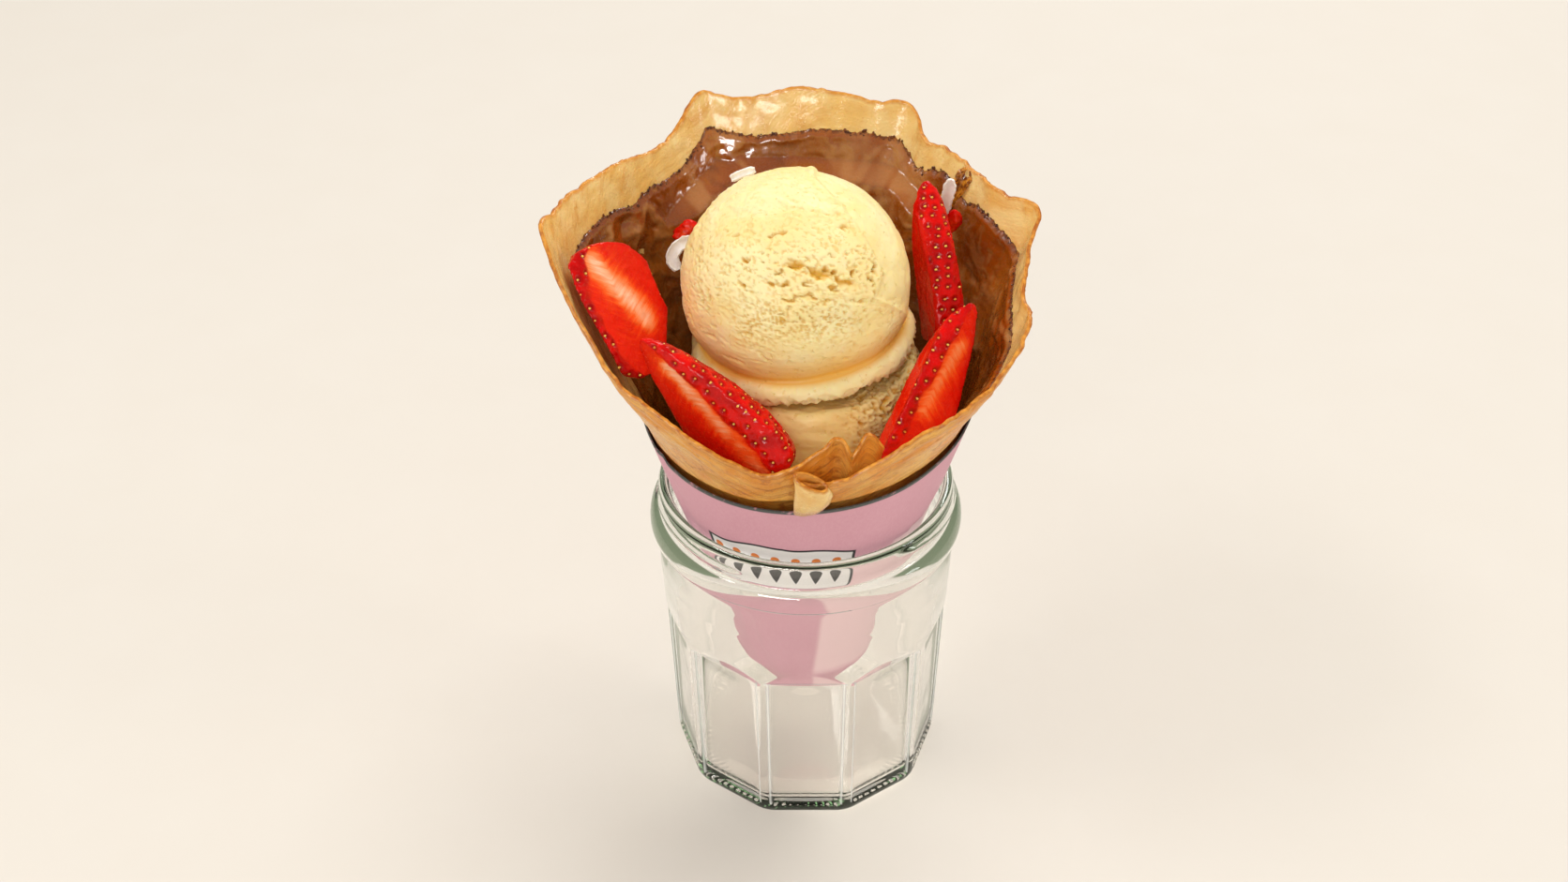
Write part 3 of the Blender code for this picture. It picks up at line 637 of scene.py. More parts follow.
wave = maths(tree, "MULTIPLY", maths(tree, "SINE", maths(tree, "MULTIPLY", across, 0.35)), 0.5)
top_line = maths(tree, "ADD", maths(tree, "MULTIPLY", maths(tree, "ABSOLUTE", maths(tree, "ADD", across, 6.0)), -0.11), 95.6)
top_line = maths(tree, "ADD", top_line, wave)
left_limit = between(tree, across, -28.0, -27.6)
right_limit = between(tree, across, 13.0, 13.4, 1.0, 0.0)
sides = maths(tree, "MULTIPLY", left_limit, right_limit)
outline = maths(tree, "MULTIPLY", band_mask(76.0, top_line), sides)
inner_sides = maths(tree, "MULTIPLY", between(tree, across, -27.0, -26.6), between(tree, across, 12.2, 12.6, 1.0, 0.0))
white_area = maths(tree, "MULTIPLY", band_mask(76.8, maths(tree, "SUBTRACT", top_line, 0.75)), inner_sides)
cell = maths(tree, "FRACT", maths(tree, "MULTIPLY", across, 1 / 5.5))
from_middle = maths(tree, "MULTIPLY", maths(tree, "SUBTRACT", cell, 0.5), 5.5)
drop_line = maths(tree, "SUBTRACT", up, 90.0)
dot_distance = maths(tree, "SQRT", maths(tree, "ADD", maths(tree, "POWER", from_middle, 2.0), maths(tree, "POWER", drop_line, 2.0)))
dots = between(tree, dot_distance, 1.1, 1.3, 1.0, 0.0)
dart_width = maths(tree, "MULTIPLY", maths(tree, "SUBTRACT", up, 81.5), 0.42)
darts = between(tree, maths(tree, "SUBTRACT", dart_width, maths(tree, "ABSOLUTE", from_middle)), -0.1, 0.15)
darts = maths(tree, "MULTIPLY", darts, band_mask(81.5, 86.5))
printed = blend(tree, outline, pink, paint(38, 38, 40))
printed = blend(tree, white_area, printed, paint(236, 232, 230))
printed = blend(tree, maths(tree, "MULTIPLY", dots, white_area), printed, paint(214, 118, 48))
printed = blend(tree, maths(tree, "MULTIPLY", darts, white_area), printed, paint(52, 50, 50))
tree.links.new(printed, shader.inputs["Base Color"])
tree.links.new(relief(tree, fibre, 0.05), shader.inputs["Normal"])
sleeve.data.materials.append(card_material)
place(sleeve, "sleeve_paper", "paper_sleeve")

# %% [markdown]
# ## The crepe
# A crepe is one thin round sheet, rolled up so that its free edge lies over the start of the roll at the
# front. A cone with a thick wall would miss just that: the sheet's two ends, its browned edge, the flat
# panels between the folds. So it is made as it is in the kitchen. A flat grid is added, and a rolling
# function lays each of its points round the cone: along the grid is the way round, up the grid is the
# height. The last part of the grid runs on inside the first, which makes the overlap.

# %% The rim that the rolled sheet follows
# (angle, radius, height) once round, from the free edge at the front over the right, back and left
RIM = [
    (-3.0, 47.5, 124.2), (-1.6, 47.7, 124.8), (1.2, 47.6, 124.6), (5.4, 47.7, 124.5), (10.0, 49.2, 126.6),
    (20.0, 50.8, 131.5), (30.0, 52.0, 136.0), (40.0, 53.0, 138.5), (49.0, 54.5, 141.0), (58.0, 56.5, 145.0),
    (66.0, 58.0, 150.0), (73.0, 57.0, 152.0), (80.0, 55.0, 152.5), (88.0, 54.5, 155.0), (96.0, 56.5, 158.5),
    (104.0, 60.3, 162.7), (108.9, 59.8, 163.8), (112.6, 57.9, 162.7), (119.5, 55.0, 163.0), (126.6, 55.2, 163.5),
    (132.0, 55.2, 164.7), (139.5, 56.7, 165.2), (147.5, 58.3, 165.1), (152.0, 62.5, 169.0), (156.4, 63.1, 171.3),
    (161.3, 60.4, 171.4), (170.1, 57.2, 173.8), (182.8, 56.8, 175.8), (190.8, 58.0, 173.4), (199.7, 60.8, 172.3),
    (205.0, 64.0, 174.0), (209.4, 62.5, 172.2), (214.7, 58.8, 168.9), (225.5, 54.6, 167.6), (236.4, 53.6, 170.0),
    (248.0, 55.0, 171.4), (259.0, 58.4, 171.4), (271.0, 62.0, 172.0), (278.0, 64.0, 174.0), (284.0, 63.5, 170.0),
    (294.0, 60.5, 158.0), (304.0, 57.0, 147.0), (314.0, 54.0, 141.0), (322.0, 52.0, 137.0), (330.0, 50.2, 133.0),
    (338.0, 48.4, 129.0), (346.0, 46.6, 125.4), (352.0, 45.6, 125.8), (357.0, 44.6, 127.4), (362.0, 43.6, 129.6),
    (367.0, 42.6, 132.0), (370.5, 41.9, 133.4), (372.3, 42.4, 132.4), (374.2, 43.8, 128.4), (376.5, 43.9, 130.4),
    (380.2, 43.9, 134.6), (382.0, 44.3, 133.8), (384.5, 44.9, 130.4),
]
CREPE_THICKNESS = 0.95
CREPE_FOOT = 64.0
ALONG, UP = 500, 84
rim_table = np.array(RIM)


def gentle(table, column, value):
    """A smooth curve through a column of a table: cubic steps with slopes from the neighbours."""
    x, y = table[:, 0], table[:, column]
    slope = np.gradient(y, x)
    i = np.clip(np.searchsorted(x, value) - 1, 0, len(x) - 2)
    width = x[i + 1] - x[i]
    t = np.clip((value - x[i]) / width, 0, 1)
    a, b = 2 * t ** 3 - 3 * t ** 2 + 1, t ** 3 - 2 * t ** 2 + t
    return a * y[i] + b * width * slope[i] + (1 - a) * y[i + 1] + (t ** 3 - t ** 2) * width * slope[i + 1]


def wall_at(way, height, gap=1.0):
    """Radius of the rolled sheet's outside at a way round and a height, and how far down from the rim."""
    rim_radius, rim_height = gentle(rim_table, 1, way), gentle(rim_table, 2, way)
    mouth = mouth_height(way)
    inner_run = ease((way - 340) / 22) * 2.3
    paper = cone_radius(height) - gap - inner_run
    share = ease((height - mouth) / (rim_height - mouth))
    slope = rim_radius / (rim_height - CONE_APEX)
    return lerp(paper, (height - CONE_APEX) * slope, share), rim_height - height


print("the sheet runs round", RIM[0][0], "to", RIM[-1][0], "degrees")

# %% Roll the sheet
bpy.ops.mesh.primitive_grid_add(x_subdivisions=ALONG, y_subdivisions=UP, size=0.2)
crepe = named("rolled_crepe")


def roll_up(points):
    flat = points / 200 + 0.5
    way = lerp(RIM[0][0], RIM[-1][0], flat[:, 0])
    share = flat[:, 1]
    wobble = lumps(np.stack([way, 0 * way, 0 * way], 1), 3.2, 4)
    rim_height = gentle(rim_table, 2, way) + 0.45 * wobble
    start = mouth_height(way) - 9
    lower = lerp(CREPE_FOOT, start, share / 0.12)
    upper_part = lerp(start, rim_height, ((share - 0.12) / 0.88) ** 0.92)
    height = np.where(share < 0.12, lower, upper_part)
    radius, below = wall_at(way, np.minimum(height, rim_height))
    return way, height, radius, rim_height - height


way, height, radius, below = roll_up(points_of(crepe))
print("rows between foot and rim:", UP)

# %% [markdown]
# The thin batter puckers where it set. Long shallow flutes run down the wall, fine wrinkles cross them, the
# rim curls a little and thickens, and at the front the wall draws back from the sleeve. All of this is real
# shape, because the low light at the rim shows every ripple.

# %% Pucker the sheet
def puckered(way, height):
    """Radius of the sheet's outside with its flutes, wrinkles and folds."""
    radius, below = wall_at(way, height)
    base = turned_to(way, radius, height)
    flutes = lumps(base, 9.0, 11, 2, (1, 1, 3.2))
    wrinkles = lumps(base, 2.6, 12, 3, (1, 1, 2.0))
    crossed = lumps(base, 3.4, 13, 3, (2.6, 2.6, 0.8))
    upper_share = ease((height - mouth_height(way)) / 8)
    at_front = bump(way - 318, 34) + bump(way - 30, 34)
    fold_line = bump(below - 6.5 - 1.2 * crossed, 2.2) * 0.55 - bump(below - 3.2, 2.4) * 0.45
    radius = radius + upper_share * (0.42 * flutes + 0.14 * wrinkles + 0.12 * crossed - at_front * fold_line)
    radius = radius + bump(below, 5.5) * (0.25 * flutes + 0.22 * wrinkles)
    facing_front = ease((np.cos(np.radians(way)) - 0.25) / 0.35)
    radius = radius - 2.7 * facing_front * ease((mouth_height(way) + 3.0 - height) / 4.0)
    return radius, wrinkles


radius, wrinkles = puckered(way, height)
put(crepe, turned_to(way, radius, height))
keep_value(crepe, "below_rim", np.clip(below, 0, 60))
end_distance = np.minimum(way - RIM[0][0], RIM[-1][0] - way) * radius * math.pi / 180
keep_value(crepe, "from_end", np.clip(end_distance, 0, 40))
keep_value(crepe, "way_round", way * radius * math.pi / 180)
keep_value(crepe, "wrinkle", 0.5 + 0.5 * wrinkles)

# %% Give the sheet its thickness
edit(crepe)
bpy.ops.mesh.normals_make_consistent(inside=False)
leave()
middle = crepe.data.polygons[len(crepe.data.polygons) // 2]
if middle.normal.dot(Vector((middle.center.x, middle.center.y, 0))) < 0:
    edit(crepe)
    bpy.ops.mesh.flip_normals()
    leave()
batter = crepe.modifiers.new("batter", "SOLIDIFY")
batter.thickness = CREPE_THICKNESS * MM
batter.offset = -1
batter.material_offset = 1
batter.material_offset_rim = 2
for _ in range(3):
    crepe.data.materials.append(None)
apply_all(crepe)
smooth(crepe)
print("crepe faces:", len(crepe.data.polygons))

# %% [markdown]
# ### Shader groups for the food
# Three effects come back on several foods, so each is built once as a node group with named sockets:
# browning in spots and clouds, a wet film that swells into drops, and fine pores.

# %% Groups for browning, wetness and pores
def new_group(name, inputs, outputs):
    """A shader group: inputs are (title, kind, value), outputs are (title, kind)."""
    group = bpy.data.node_groups.new(name, "ShaderNodeTree")
    for title, kind, value in inputs:
        socket = group.interface.new_socket(name=title, in_out="INPUT", socket_type="NodeSocket" + kind)
        if value is not None:
            socket.default_value = value
    for title, kind in outputs:
        group.interface.new_socket(name=title, in_out="OUTPUT", socket_type="NodeSocket" + kind)
    return group, group.nodes.new("NodeGroupInput").outputs, group.nodes.new("NodeGroupOutput").inputs


def use(tree, group, **values):
    """Place a group in a material; keyword names use _ for a space."""
    made = tree.nodes.new("ShaderNodeGroup")
    made.node_tree = group
    for key, value in values.items():
        socket = made.inputs[key.replace("_", " ")]
        if isinstance(value, bpy.types.NodeSocket):
            tree.links.new(value, socket)
        else:
            socket.default_value = value
    return made.outputs


def noise_at(tree, vector, scale, detail=3.0, roughness=0.55):
    sockets = {"Vector": vector, "Scale": scale, "Detail": detail, "Roughness": roughness}
    return add(tree, "ShaderNodeTexNoise", sockets).outputs["Fac"]


browning, given, result = new_group(
    "browning", [("Place", "Vector", None), ("Spot Scale", "Float", 0.3), ("Threshold", "Float", 0.55)],
    [("Spots", "Float"), ("Clouds", "Float")])
spots = noise_at(browning, given["Place"], given["Spot Scale"], 4.0, 0.6)
over = maths(browning, "SUBTRACT", spots, given["Threshold"])
clouds = noise_at(browning, given["Place"], maths(browning, "MULTIPLY", given["Spot Scale"], 0.3), 2.0)
browning.links.new(between(browning, over, 0.0, 0.14), result["Spots"])
browning.links.new(between(browning, clouds, 0.3, 0.7), result["Clouds"])

wet_film, given, result = new_group(
    "wet_film", [("Place", "Vector", None), ("Drop Scale", "Float", 0.5), ("Wetness", "Float", 0.5)],
    [("Height", "Float"), ("Roughness", "Float")])
drops = noise_at(wet_film, given["Place"], given["Drop Scale"], 1.5)
smears = noise_at(wet_film, given["Place"], maths(wet_film, "MULTIPLY", given["Drop Scale"], 3.0), 2.0)
wet_film.links.new(maths(wet_film, "ADD", drops, maths(wet_film, "MULTIPLY", smears, 0.25)), result["Height"])
dry = maths(wet_film, "MULTIPLY", maths(wet_film, "SUBTRACT", 1.0, given["Wetness"]), 0.5)
patchy = between(wet_film, smears, 0.35, 0.7, 0.10, 0.28)
wet_film.links.new(maths(wet_film, "ADD", dry, patchy), result["Roughness"])

pores, given, result = new_group(
    "pores", [("Place", "Vector", None), ("Pore Scale", "Float", 1.0), ("Openness", "Float", 0.5)],
    [("Height", "Float"), ("Mask", "Float")])
holes = noise_at(pores, given["Place"], given["Pore Scale"], 2.0, 0.5)
open_at = maths(pores, "SUBTRACT", 0.72, maths(pores, "MULTIPLY", given["Openness"], 0.3))
mask = between(pores, maths(pores, "SUBTRACT", holes, open_at), -0.02, 0.06)
fine = noise_at(pores, given["Place"], maths(pores, "MULTIPLY", given["Pore Scale"], 3.1), 2.0)
pores.links.new(maths(pores, "SUBTRACT", maths(pores, "MULTIPLY", fine, 0.3), mask), result["Height"])
pores.links.new(mask, result["Mask"])
print("groups:", [group.name for group in bpy.data.node_groups])

# %% [markdown]
# ### The baked batter
# Inside, the sheet is pale tan with a greyish cloud and faint wet points. Outside it is golden with brown
# streaks that run round the cone at the front. Its cut edge is the most baked: a thin orange-brown line.

# %% Crepe surfaces
def batter_material(name, pale, deep, spot, streak_turn, threshold, wetness):
    material, tree, shader = new_material(name, Roughness=0.45, Subsurface_Weight=0.10, Subsurface_Scale=0.0015)
    shader.inputs["Subsurface Radius"].default_value = (1.0, 0.4, 0.12)
    shader.inputs["Specular IOR Level"].default_value = 0.42
    shader.inputs["Coat Weight"].default_value = 0.35 * wetness
    shader.inputs["Coat Roughness"].default_value = 0.12
    place_on = here(tree)
    baked = use(tree, browning, Place=place_on, Spot_Scale=0.42, Threshold=threshold)
    round_way = own(tree, "way_round")
    below_rim = own(tree, "below_rim")
    strip = add(tree, "ShaderNodeCombineXYZ", {0: round_way, 1: below_rim}).outputs[0]
    squeeze = {"Vector": strip, "Scale": streak_turn}
    streaks = noise_at(tree, add(tree, "ShaderNodeMapping", squeeze).outputs[0], 1.0, 5.0, 0.72)
    colour = blend(tree, baked["Clouds"], pale, deep)
    colour = blend(tree, between(tree, streaks, 0.40, 0.75, 0.0, 0.75), colour, spot)
    colour = blend(tree, maths(tree, "MULTIPLY", baked["Spots"], 0.6), colour, spot)
    freckles = between(tree, grain(tree, place_on, 0.75, 2.0), 0.66, 0.74, 0.0, 0.55)
    colour = blend(tree, freckles, colour, spot)
    rim_share = between(tree, below_rim, 0.2, 1.3, 0.9, 0.0)
    rim_grain = between(tree, grain(tree, place_on, 1.4), 0.3, 0.6, 0.45, 1.0)
    colour = blend(tree, maths(tree, "MULTIPLY", rim_share, rim_grain), colour, paint(214, 138, 40))
    end_share = between(tree, own(tree, "from_end"), 0.2, 1.6, 0.9, 0.0)
    colour = blend(tree, end_share, colour, paint(214, 112, 18))
    tree.links.new(colour, shader.inputs["Base Color"])
    film = use(tree, wet_film, Place=place_on, Drop_Scale=0.7, Wetness=wetness)
    tree.links.new(film["Roughness"], shader.inputs["Roughness"])
    under = relief(tree, streaks, 0.45)
    tree.links.new(relief(tree, grain(tree, place_on, 0.7, 3.0), 0.16, under), shader.inputs["Normal"])
    return material


outside_batter = batter_material(
    "crepe_outside", paint(244, 187, 88), paint(233, 151, 44), paint(172, 86, 16), (0.045, 1.1, 1), 0.56, 0.6)
inside_batter = batter_material(
    "crepe_inside", paint(249, 218, 147), paint(242, 198, 114), paint(222, 156, 66), (0.12, 0.12, 1), 0.62, 1.0)
rim_batter, tree, shader = new_material("crepe_rim", Roughness=0.35)
rim_colour = blend(tree, between(tree, grain(tree, here(tree), 1.8), 0.3, 0.7), paint(228, 156, 56), paint(178, 96, 22))
tree.links.new(rim_colour, shader.inputs["Base Color"])
for slot_number, material in enumerate((outside_batter, inside_batter, rim_batter)):
    crepe.data.materials[slot_number] = material
place(crepe, "crepe", "crepe")

# %% [markdown]
# ### The pinched corner
# Where the free edge ends at the front, the corner of the batter was pinched into a small hood that gapes
# upwards. A cone is added and each of its rings is laid along an oval that shrinks and leans over to the
# left on its way down. Its wall is pleated, and Solidify gives it the crepe's thickness.

# %% Pinch the corner
HOOD_RINGS = [
    # share down, middle, half of the long way, half of the short way
    (0.0, (1.2, -47.9, 126.0), (3.5, 0.1, -2.1), (0.4, 0.95, 0.7)),
    (0.35, (1.9, -46.4, 121.6), (3.9, 0.7, -1.3), (0.2, 1.3, 0.4)),
    (0.7, (1.4, -44.2, 116.8), (3.6, 0.9, -0.6), (0.0, 1.6, 0.2)),
    (1.0, (0.4, -41.6, 112.4), (2.7, 0.6, 0.0), (0.0, 1.1, 0.0)),
]
bpy.ops.mesh.primitive_cone_add(vertices=72, radius1=0.5, radius2=1.0, depth=2, end_fill_type="NOTHING")
hood = named("pinched_corner")
edit(hood)
bpy.ops.mesh.select_all(action="SELECT")
bpy.ops.mesh.subdivide(number_cuts=5)
leave()
hood_points = points_of(hood) / 1000
hood_share = (1 - hood_points[:, 2]) / 2
hood_turn = np.arctan2(hood_points[:, 1], hood_points[:, 0])
stops = np.array([row[0] for row in HOOD_RINGS])
middle_of, long_of, short_of = (
    np.stack([np.interp(hood_share, stops, [row[part][k] for row in HOOD_RINGS]) for k in range(3)], 1)
    for part in (1, 2, 3))
pleats = 1 + 0.05 * np.sin(hood_turn * 7 + hood_share * 3) * ease(hood_share * 3)
pleats = pleats + 0.05 * lumps(np.stack([np.cos(hood_turn) * 3, np.sin(hood_turn) * 3, hood_share * 4], 1), 1.6, 51, 2)
put(hood, middle_of + long_of * (np.cos(hood_turn) * pleats)[:, None] + short_of * (np.sin(hood_turn) * pleats)[:, None])
edit(hood)
bpy.ops.mesh.select_all(action="SELECT")
bpy.ops.mesh.normals_make_consistent(inside=False)
leave()
keep_value(hood, "below_rim", hood_share * 9)
keep_value(hood, "from_end", 10 + 0 * hood_share)
keep_value(hood, "way_round", hood_turn * 3)
pinch = hood.modifiers.new("batter", "SOLIDIFY")
pinch.thickness = 0.7 * MM
pinch.offset = -1
pinch.material_offset = 1
pinch.material_offset_rim = 2
for material in (outside_batter, inside_batter, rim_batter):
    hood.data.materials.append(material)
apply_all(hood)
smooth(hood)
place(hood, "crepe", "crepe")

# %% [markdown]
# ## The chocolate spread
# Warm chocolate spread was wiped on the inside of the crepe and set with a glossy skin. It has no thickness
# worth the name at its border, so a ring laid against the wall would look like a collar. The spread is again
# a grid that is rolled round, this time just inside the crepe's own puckered wall, with its upper border
# following the line where the knife stopped. Solidify pushes its back into the batter, so the border thins
# out on the crepe. At the back the spread covers an inner fold of the crepe, which shows as a shelf.

# %% Where the spread ends, and the shelf behind the scoop
# (way round, height) of the upper border
SPREAD_BORDER = [
    (58, 137), (70, 141.4), (77, 145), (84, 147.6), (94, 150.4), (102, 152), (107, 152.8), (114, 154.8),
    (121, 156.8), (128, 156), (136, 159.6), (142, 159.2), (146, 157.8), (151, 159), (154, 161.2), (159, 162.6),
    (165, 164), (171, 165.3), (185, 164.4), (195, 163), (201, 164), (205, 165.2), (209, 163), (214.5, 160.2),
    (224, 159.4), (234, 160.3), (242, 159.6), (251, 161.4), (260, 161.2), (270, 160), (278, 158),
]
SPREAD_LOW = 96.0
border_table = np.array(SPREAD_BORDER)


def spread_border(way):
    spot = np.stack([way * 0.95, 0 * way, 0 * way], 1)
    ragged = 0.55 * lumps(spot, 2.2, 31) + 0.35 * lumps(spot, 0.9, 32, 1)
    return gentle(border_table, 1, way) + ragged


def shelf(way, height):
    """How far the inner fold stands in from the wall."""
    top = 158.3 - 6.5 * ((way - 182) / 42) ** 2
    reach = ease((way - 128) / 16) * ease((232 - way) / 14)
    return 5.6 * reach * ease((top - height) / 2.6)


def spread_surface(way, height):
    """Radius of the glossy inner face of the spread, and the height of its smears."""
    wall, _ = puckered(way, height)
    base = turned_to(way, wall, height)
    bent = base + 5.0 * np.stack([lumps(base, 13.0, 33 + k, 2) for k in range(3)], 1)
    smears = lumps(bent, 6.5, 36, 3, (1.6, 1.6, 1.0))
    border = spread_border(way)
    from_border = np.clip(border - height, 0, 99)
    film = 0.15 + 0.9 * ease(from_border / 3.0)
    lip = 0.55 * bump(from_border - 1.3, 1.5)
    edge_crumbs = 0.32 * np.abs(lumps(base, 1.0, 37, 2)) * bump(from_border, 2.0)
    calm = 0.65 + 0.35 * bump(way - 250, 60)
    swell = 1.0 * calm * smears * ease(from_border / 5)
    pool = 1.1 * bump(way - 262, 16) * bump(height - 150, 9) * lumps(bent, 4.0, 38, 2)
    return wall - CREPE_THICKNESS - film - lip - edge_crumbs - swell - pool - shelf(way, height), smears


# %% Roll the spread
bpy.ops.mesh.primitive_grid_add(x_subdivisions=390, y_subdivisions=108, size=0.2)
spread = named("chocolate_spread_film")
flat = points_of(spread) / 200 + 0.5
spread_way = lerp(SPREAD_BORDER[0][0], SPREAD_BORDER[-1][0], flat[:, 0])
rows_share = np.interp(flat[:, 1], [0, 0.14, 1], [0, 0.38, 1])
border_height = spread_border(spread_way)
spread_height = lerp(SPREAD_LOW, border_height, rows_share)
spread_radius, smears = spread_surface(spread_way, spread_height)
put(spread, turned_to(spread_way, spread_radius, spread_height))
keep_value(spread, "from_border", np.clip(border_height - spread_height, 0, 60))
keep_value(spread, "smear", 0.5 + 0.5 * smears)
edit(spread)
bpy.ops.mesh.normals_make_consistent(inside=False)
leave()
middle = spread.data.polygons[len(spread.data.polygons) // 2]
if middle.normal.dot(Vector((middle.center.x, middle.center.y, 0))) > 0:
    edit(spread)
    bpy.ops.mesh.flip_normals()
    leave()
film = spread.modifiers.new("film", "SOLIDIFY")
film.thickness = 0.9 * MM
film.offset = -1
apply_all(spread)
smooth(spread)

# %% [markdown]
# Along its border the spread dried into a crust of small dark beads. They are real lumps: one faceted ball
# is made, then copied, turned and squashed some hundred and eighty times along the border line.

# %% Crust beads
def scatter(model, places, name):
    """Copies of a small piece, each with its own mesh and place, joined into one piece."""
    copies = []
    for matrix in places:
        copied = model.copy()
        copied.data = model.data.copy()
        copied.data.transform(matrix)
        bpy.context.scene.collection.objects.link(copied)
        copies.append(copied)
    bpy.ops.object.select_all(action="DESELECT")
    for copied in copies:
        copied.select_set(True)
    bpy.context.view_layer.objects.active = copies[0]
    bpy.ops.object.join()
    bpy.data.objects.remove(model)
    return named(name)


def frame_at(place_mm, normal, along, sizes):
    """A matrix that puts a unit shape at a place, its z along the normal, sized in millimetres."""
    up = Vector(normal).normalized()
    side = Vector(along).cross(up).normalized()
    forward = up.cross(side)
    turn = Matrix((side, forward, up)).transposed().to_4x4()
    return Matrix.Translation(Vector(place_mm) * MM) @ turn @ Matrix.Diagonal((*[s * MM for s in sizes], 1))


bpy.ops.mesh.primitive_ico_sphere_add(subdivisions=2, radius=1)
bead = named("crust_bead")
bead_points = points_of(bead)
put(bead, bead_points * (1 + 0.22 * lumps(bead_points / 1000, 0.8, 41, 2))[:, None])
chance = random.Random(5)
bead_places = []
for number in range(420):
    bead_way = chance.uniform(61, 277)
    crusty = 0.5 + 0.5 * math.sin(bead_way * 0.16 + 1.0)
    if chance.random() > 0.15 + 0.6 * crusty:
        continue
    bead_height = float(spread_border(np.array([bead_way]))[0]) - abs(chance.gauss(0, 0.5)) + 0.25
    bead_radius = float(spread_surface(np.array([bead_way]), np.array([bead_height]))[0][0]) - 0.05
    spot = turned_to(bead_way, bead_radius, bead_height)
    size = chance.uniform(0.16, 0.42)
    inward = (-spot[0], -spot[1], 25)
    along = (chance.uniform(-1, 1), chance.uniform(-1, 1), chance.uniform(-1, 1))
    bead_places.append(frame_at(spot, inward, along, (size * chance.uniform(0.8, 1.5), size, size * 0.7)))
beads = scatter(bead, bead_places, "chocolate_crust_beads")
smooth(beads)
print("crust beads:", len(bead_places))

# %% [markdown]
# The spread is milk chocolate with hazelnut oil, so it is glossy. Its swells are painted lighter, a painted sheen,
# and its dips darker, painted shade. The dark crust reads on the border only.

# %% Chocolate
spread_material, tree, shader = new_material("chocolate_gloss", Coat_Weight=1.0, Coat_Roughness=0.06)
shader.inputs["Specular IOR Level"].default_value = 0.5
shader.inputs["Subsurface Weight"].default_value = 0.06
shader.inputs["Subsurface Scale"].default_value = 0.001
place_on = here(tree)
cloud = grain(tree, place_on, 16.0, 2.0, 0.4, 0.4)
smear = own(tree, "smear")
colour = ramp(tree, cloud, [(0.30, paint(130, 60, 6)), (0.50, paint(149, 75, 9)), (0.68, paint(166, 94, 24))])
# painted sheen and painted shade: the smears' swells are painted a lighter tan, their dips a darker brown
colour = blend(tree, between(tree, smear, 0.55, 0.8, 0.0, 0.5), colour, paint(190, 132, 74))
colour = blend(tree, between(tree, smear, 0.35, 0.10, 0.0, 0.5), colour, paint(108, 50, 10))
from_border = own(tree, "from_border")
# painted shade: deeper down in the cone, under the scoops, the chocolate is painted darker
shade_deep_in_cone = between(tree, from_border, 16.0, 34.0, 0.0, 0.75)
colour = blend(tree, shade_deep_in_cone, colour, paint(126, 66, 14))
crust_grain = between(tree, grain(tree, place_on, 0.8, 3.0), 0.42, 0.55)
crust = maths(tree, "MULTIPLY", between(tree, from_border, 0.2, 1.0, 0.75, 0.0), crust_grain)
colour = blend(tree, crust, colour, paint(72, 34, 12))
tree.links.new(colour, shader.inputs["Base Color"])
gloss = use(tree, wet_film, Place=place_on, Drop_Scale=0.28, Wetness=0.85)
tree.links.new(gloss["Roughness"], shader.inputs["Roughness"])
tree.links.new(relief(tree, gloss["Height"], 0.16), shader.inputs["Normal"])
spread.data.materials.append(spread_material)
place(spread, "chocolate", "chocolate_spread")

bead_material, tree, shader = new_material("chocolate_crust", Roughness=0.32)
bead_shade = between(tree, grain(tree, here(tree), 1.2), 0.35, 0.65)
bead_colour = blend(tree, bead_shade, paint(64, 28, 10), paint(134, 74, 28))
tree.links.new(bead_colour, shader.inputs["Base Color"])
beads.data.materials.append(bead_material)
place(beads, "chocolate", "chocolate_spread")

# %% [markdown]
# ## Two scoops of vanilla ice cream
# A scoop starts as a ball, and a plain ball is what it must not look like. The spoon leaves a smooth dome,
# squeezes a skirt out below, and tears the cold mass open in slanting rows of small pits. Painting pits on
# is quick but looks flat at the edge of the ball. Here a UV sphere's rings are laid along the scoop's own
# profile, so the skirt is there from the start, and the pits and frills are then pressed in as shape.

# %% Profiles of the scoops
# (radius, height) from the pole down, round each scoop's own centre
TOP_PROFILE = [
    (0, 28.8), (5.6, 28.2), (11.0, 26.6), (16.0, 23.9), (20.4, 20.3), (24.0, 15.9), (26.7, 10.8),
    (28.2, 5.5), (28.8, 0), (28.2, -5.2), (27.0, -8.6), (25.9, -10.6), (25.5, -11.6), (26.6, -12.4), (28.1, -13.8),
    (28.5, -15.6), (27.5, -17.4), (25.2, -18.4), (20, -19.0), (10, -19.6), (0, -20.0),
]
LOW_PROFILE = [
    (0, 12.6), (12, 12.8), (20, 13.0), (24.5, 13.8), (26.6, 14.6), (28.0, 13.2), (29.3, 8.6), (29.8, 0),
    (28.8, -8.0), (26.4, -15.6), (22, -22.0), (15, -27.0), (7, -29.4), (0, -30.0),
]
TOP_CENTRE = (-2.4, 0.5, 150.8)
LOW_CENTRE = (0.5, 0.3, 116.5)
TOP_LEAN = -6.0


def lay_rings(piece, profile, visible=0.8, crowded=0.92):
    """Lay a UV sphere's rings along a profile, most of them on the part that is seen."""
    points = points_of(piece) / 1000
    polar = np.arccos(np.clip(points[:, 2], -1, 1)) / math.pi
    turn = np.arctan2(points[:, 0], -points[:, 1])
    chain = even_chain(profile, 0.25)
    along = np.linspace(0, 1, len(chain))
    share = np.interp(polar, [0, crowded, 1], [0, visible, 1])
    radius, height = np.interp(share, along, chain[:, 0]), np.interp(share, along, chain[:, 1])
    slope = np.gradient(chain, axis=0)
    out_radius = np.interp(share, along, -slope[:, 1])
    out_height = np.interp(share, along, slope[:, 0])
    size = np.hypot(out_radius, out_height) + 1e-9
    out = turned_to(np.degrees(turn), out_radius / size, out_height / size)
    return turned_to(np.degrees(turn), radius, height), out, np.degrees(turn)


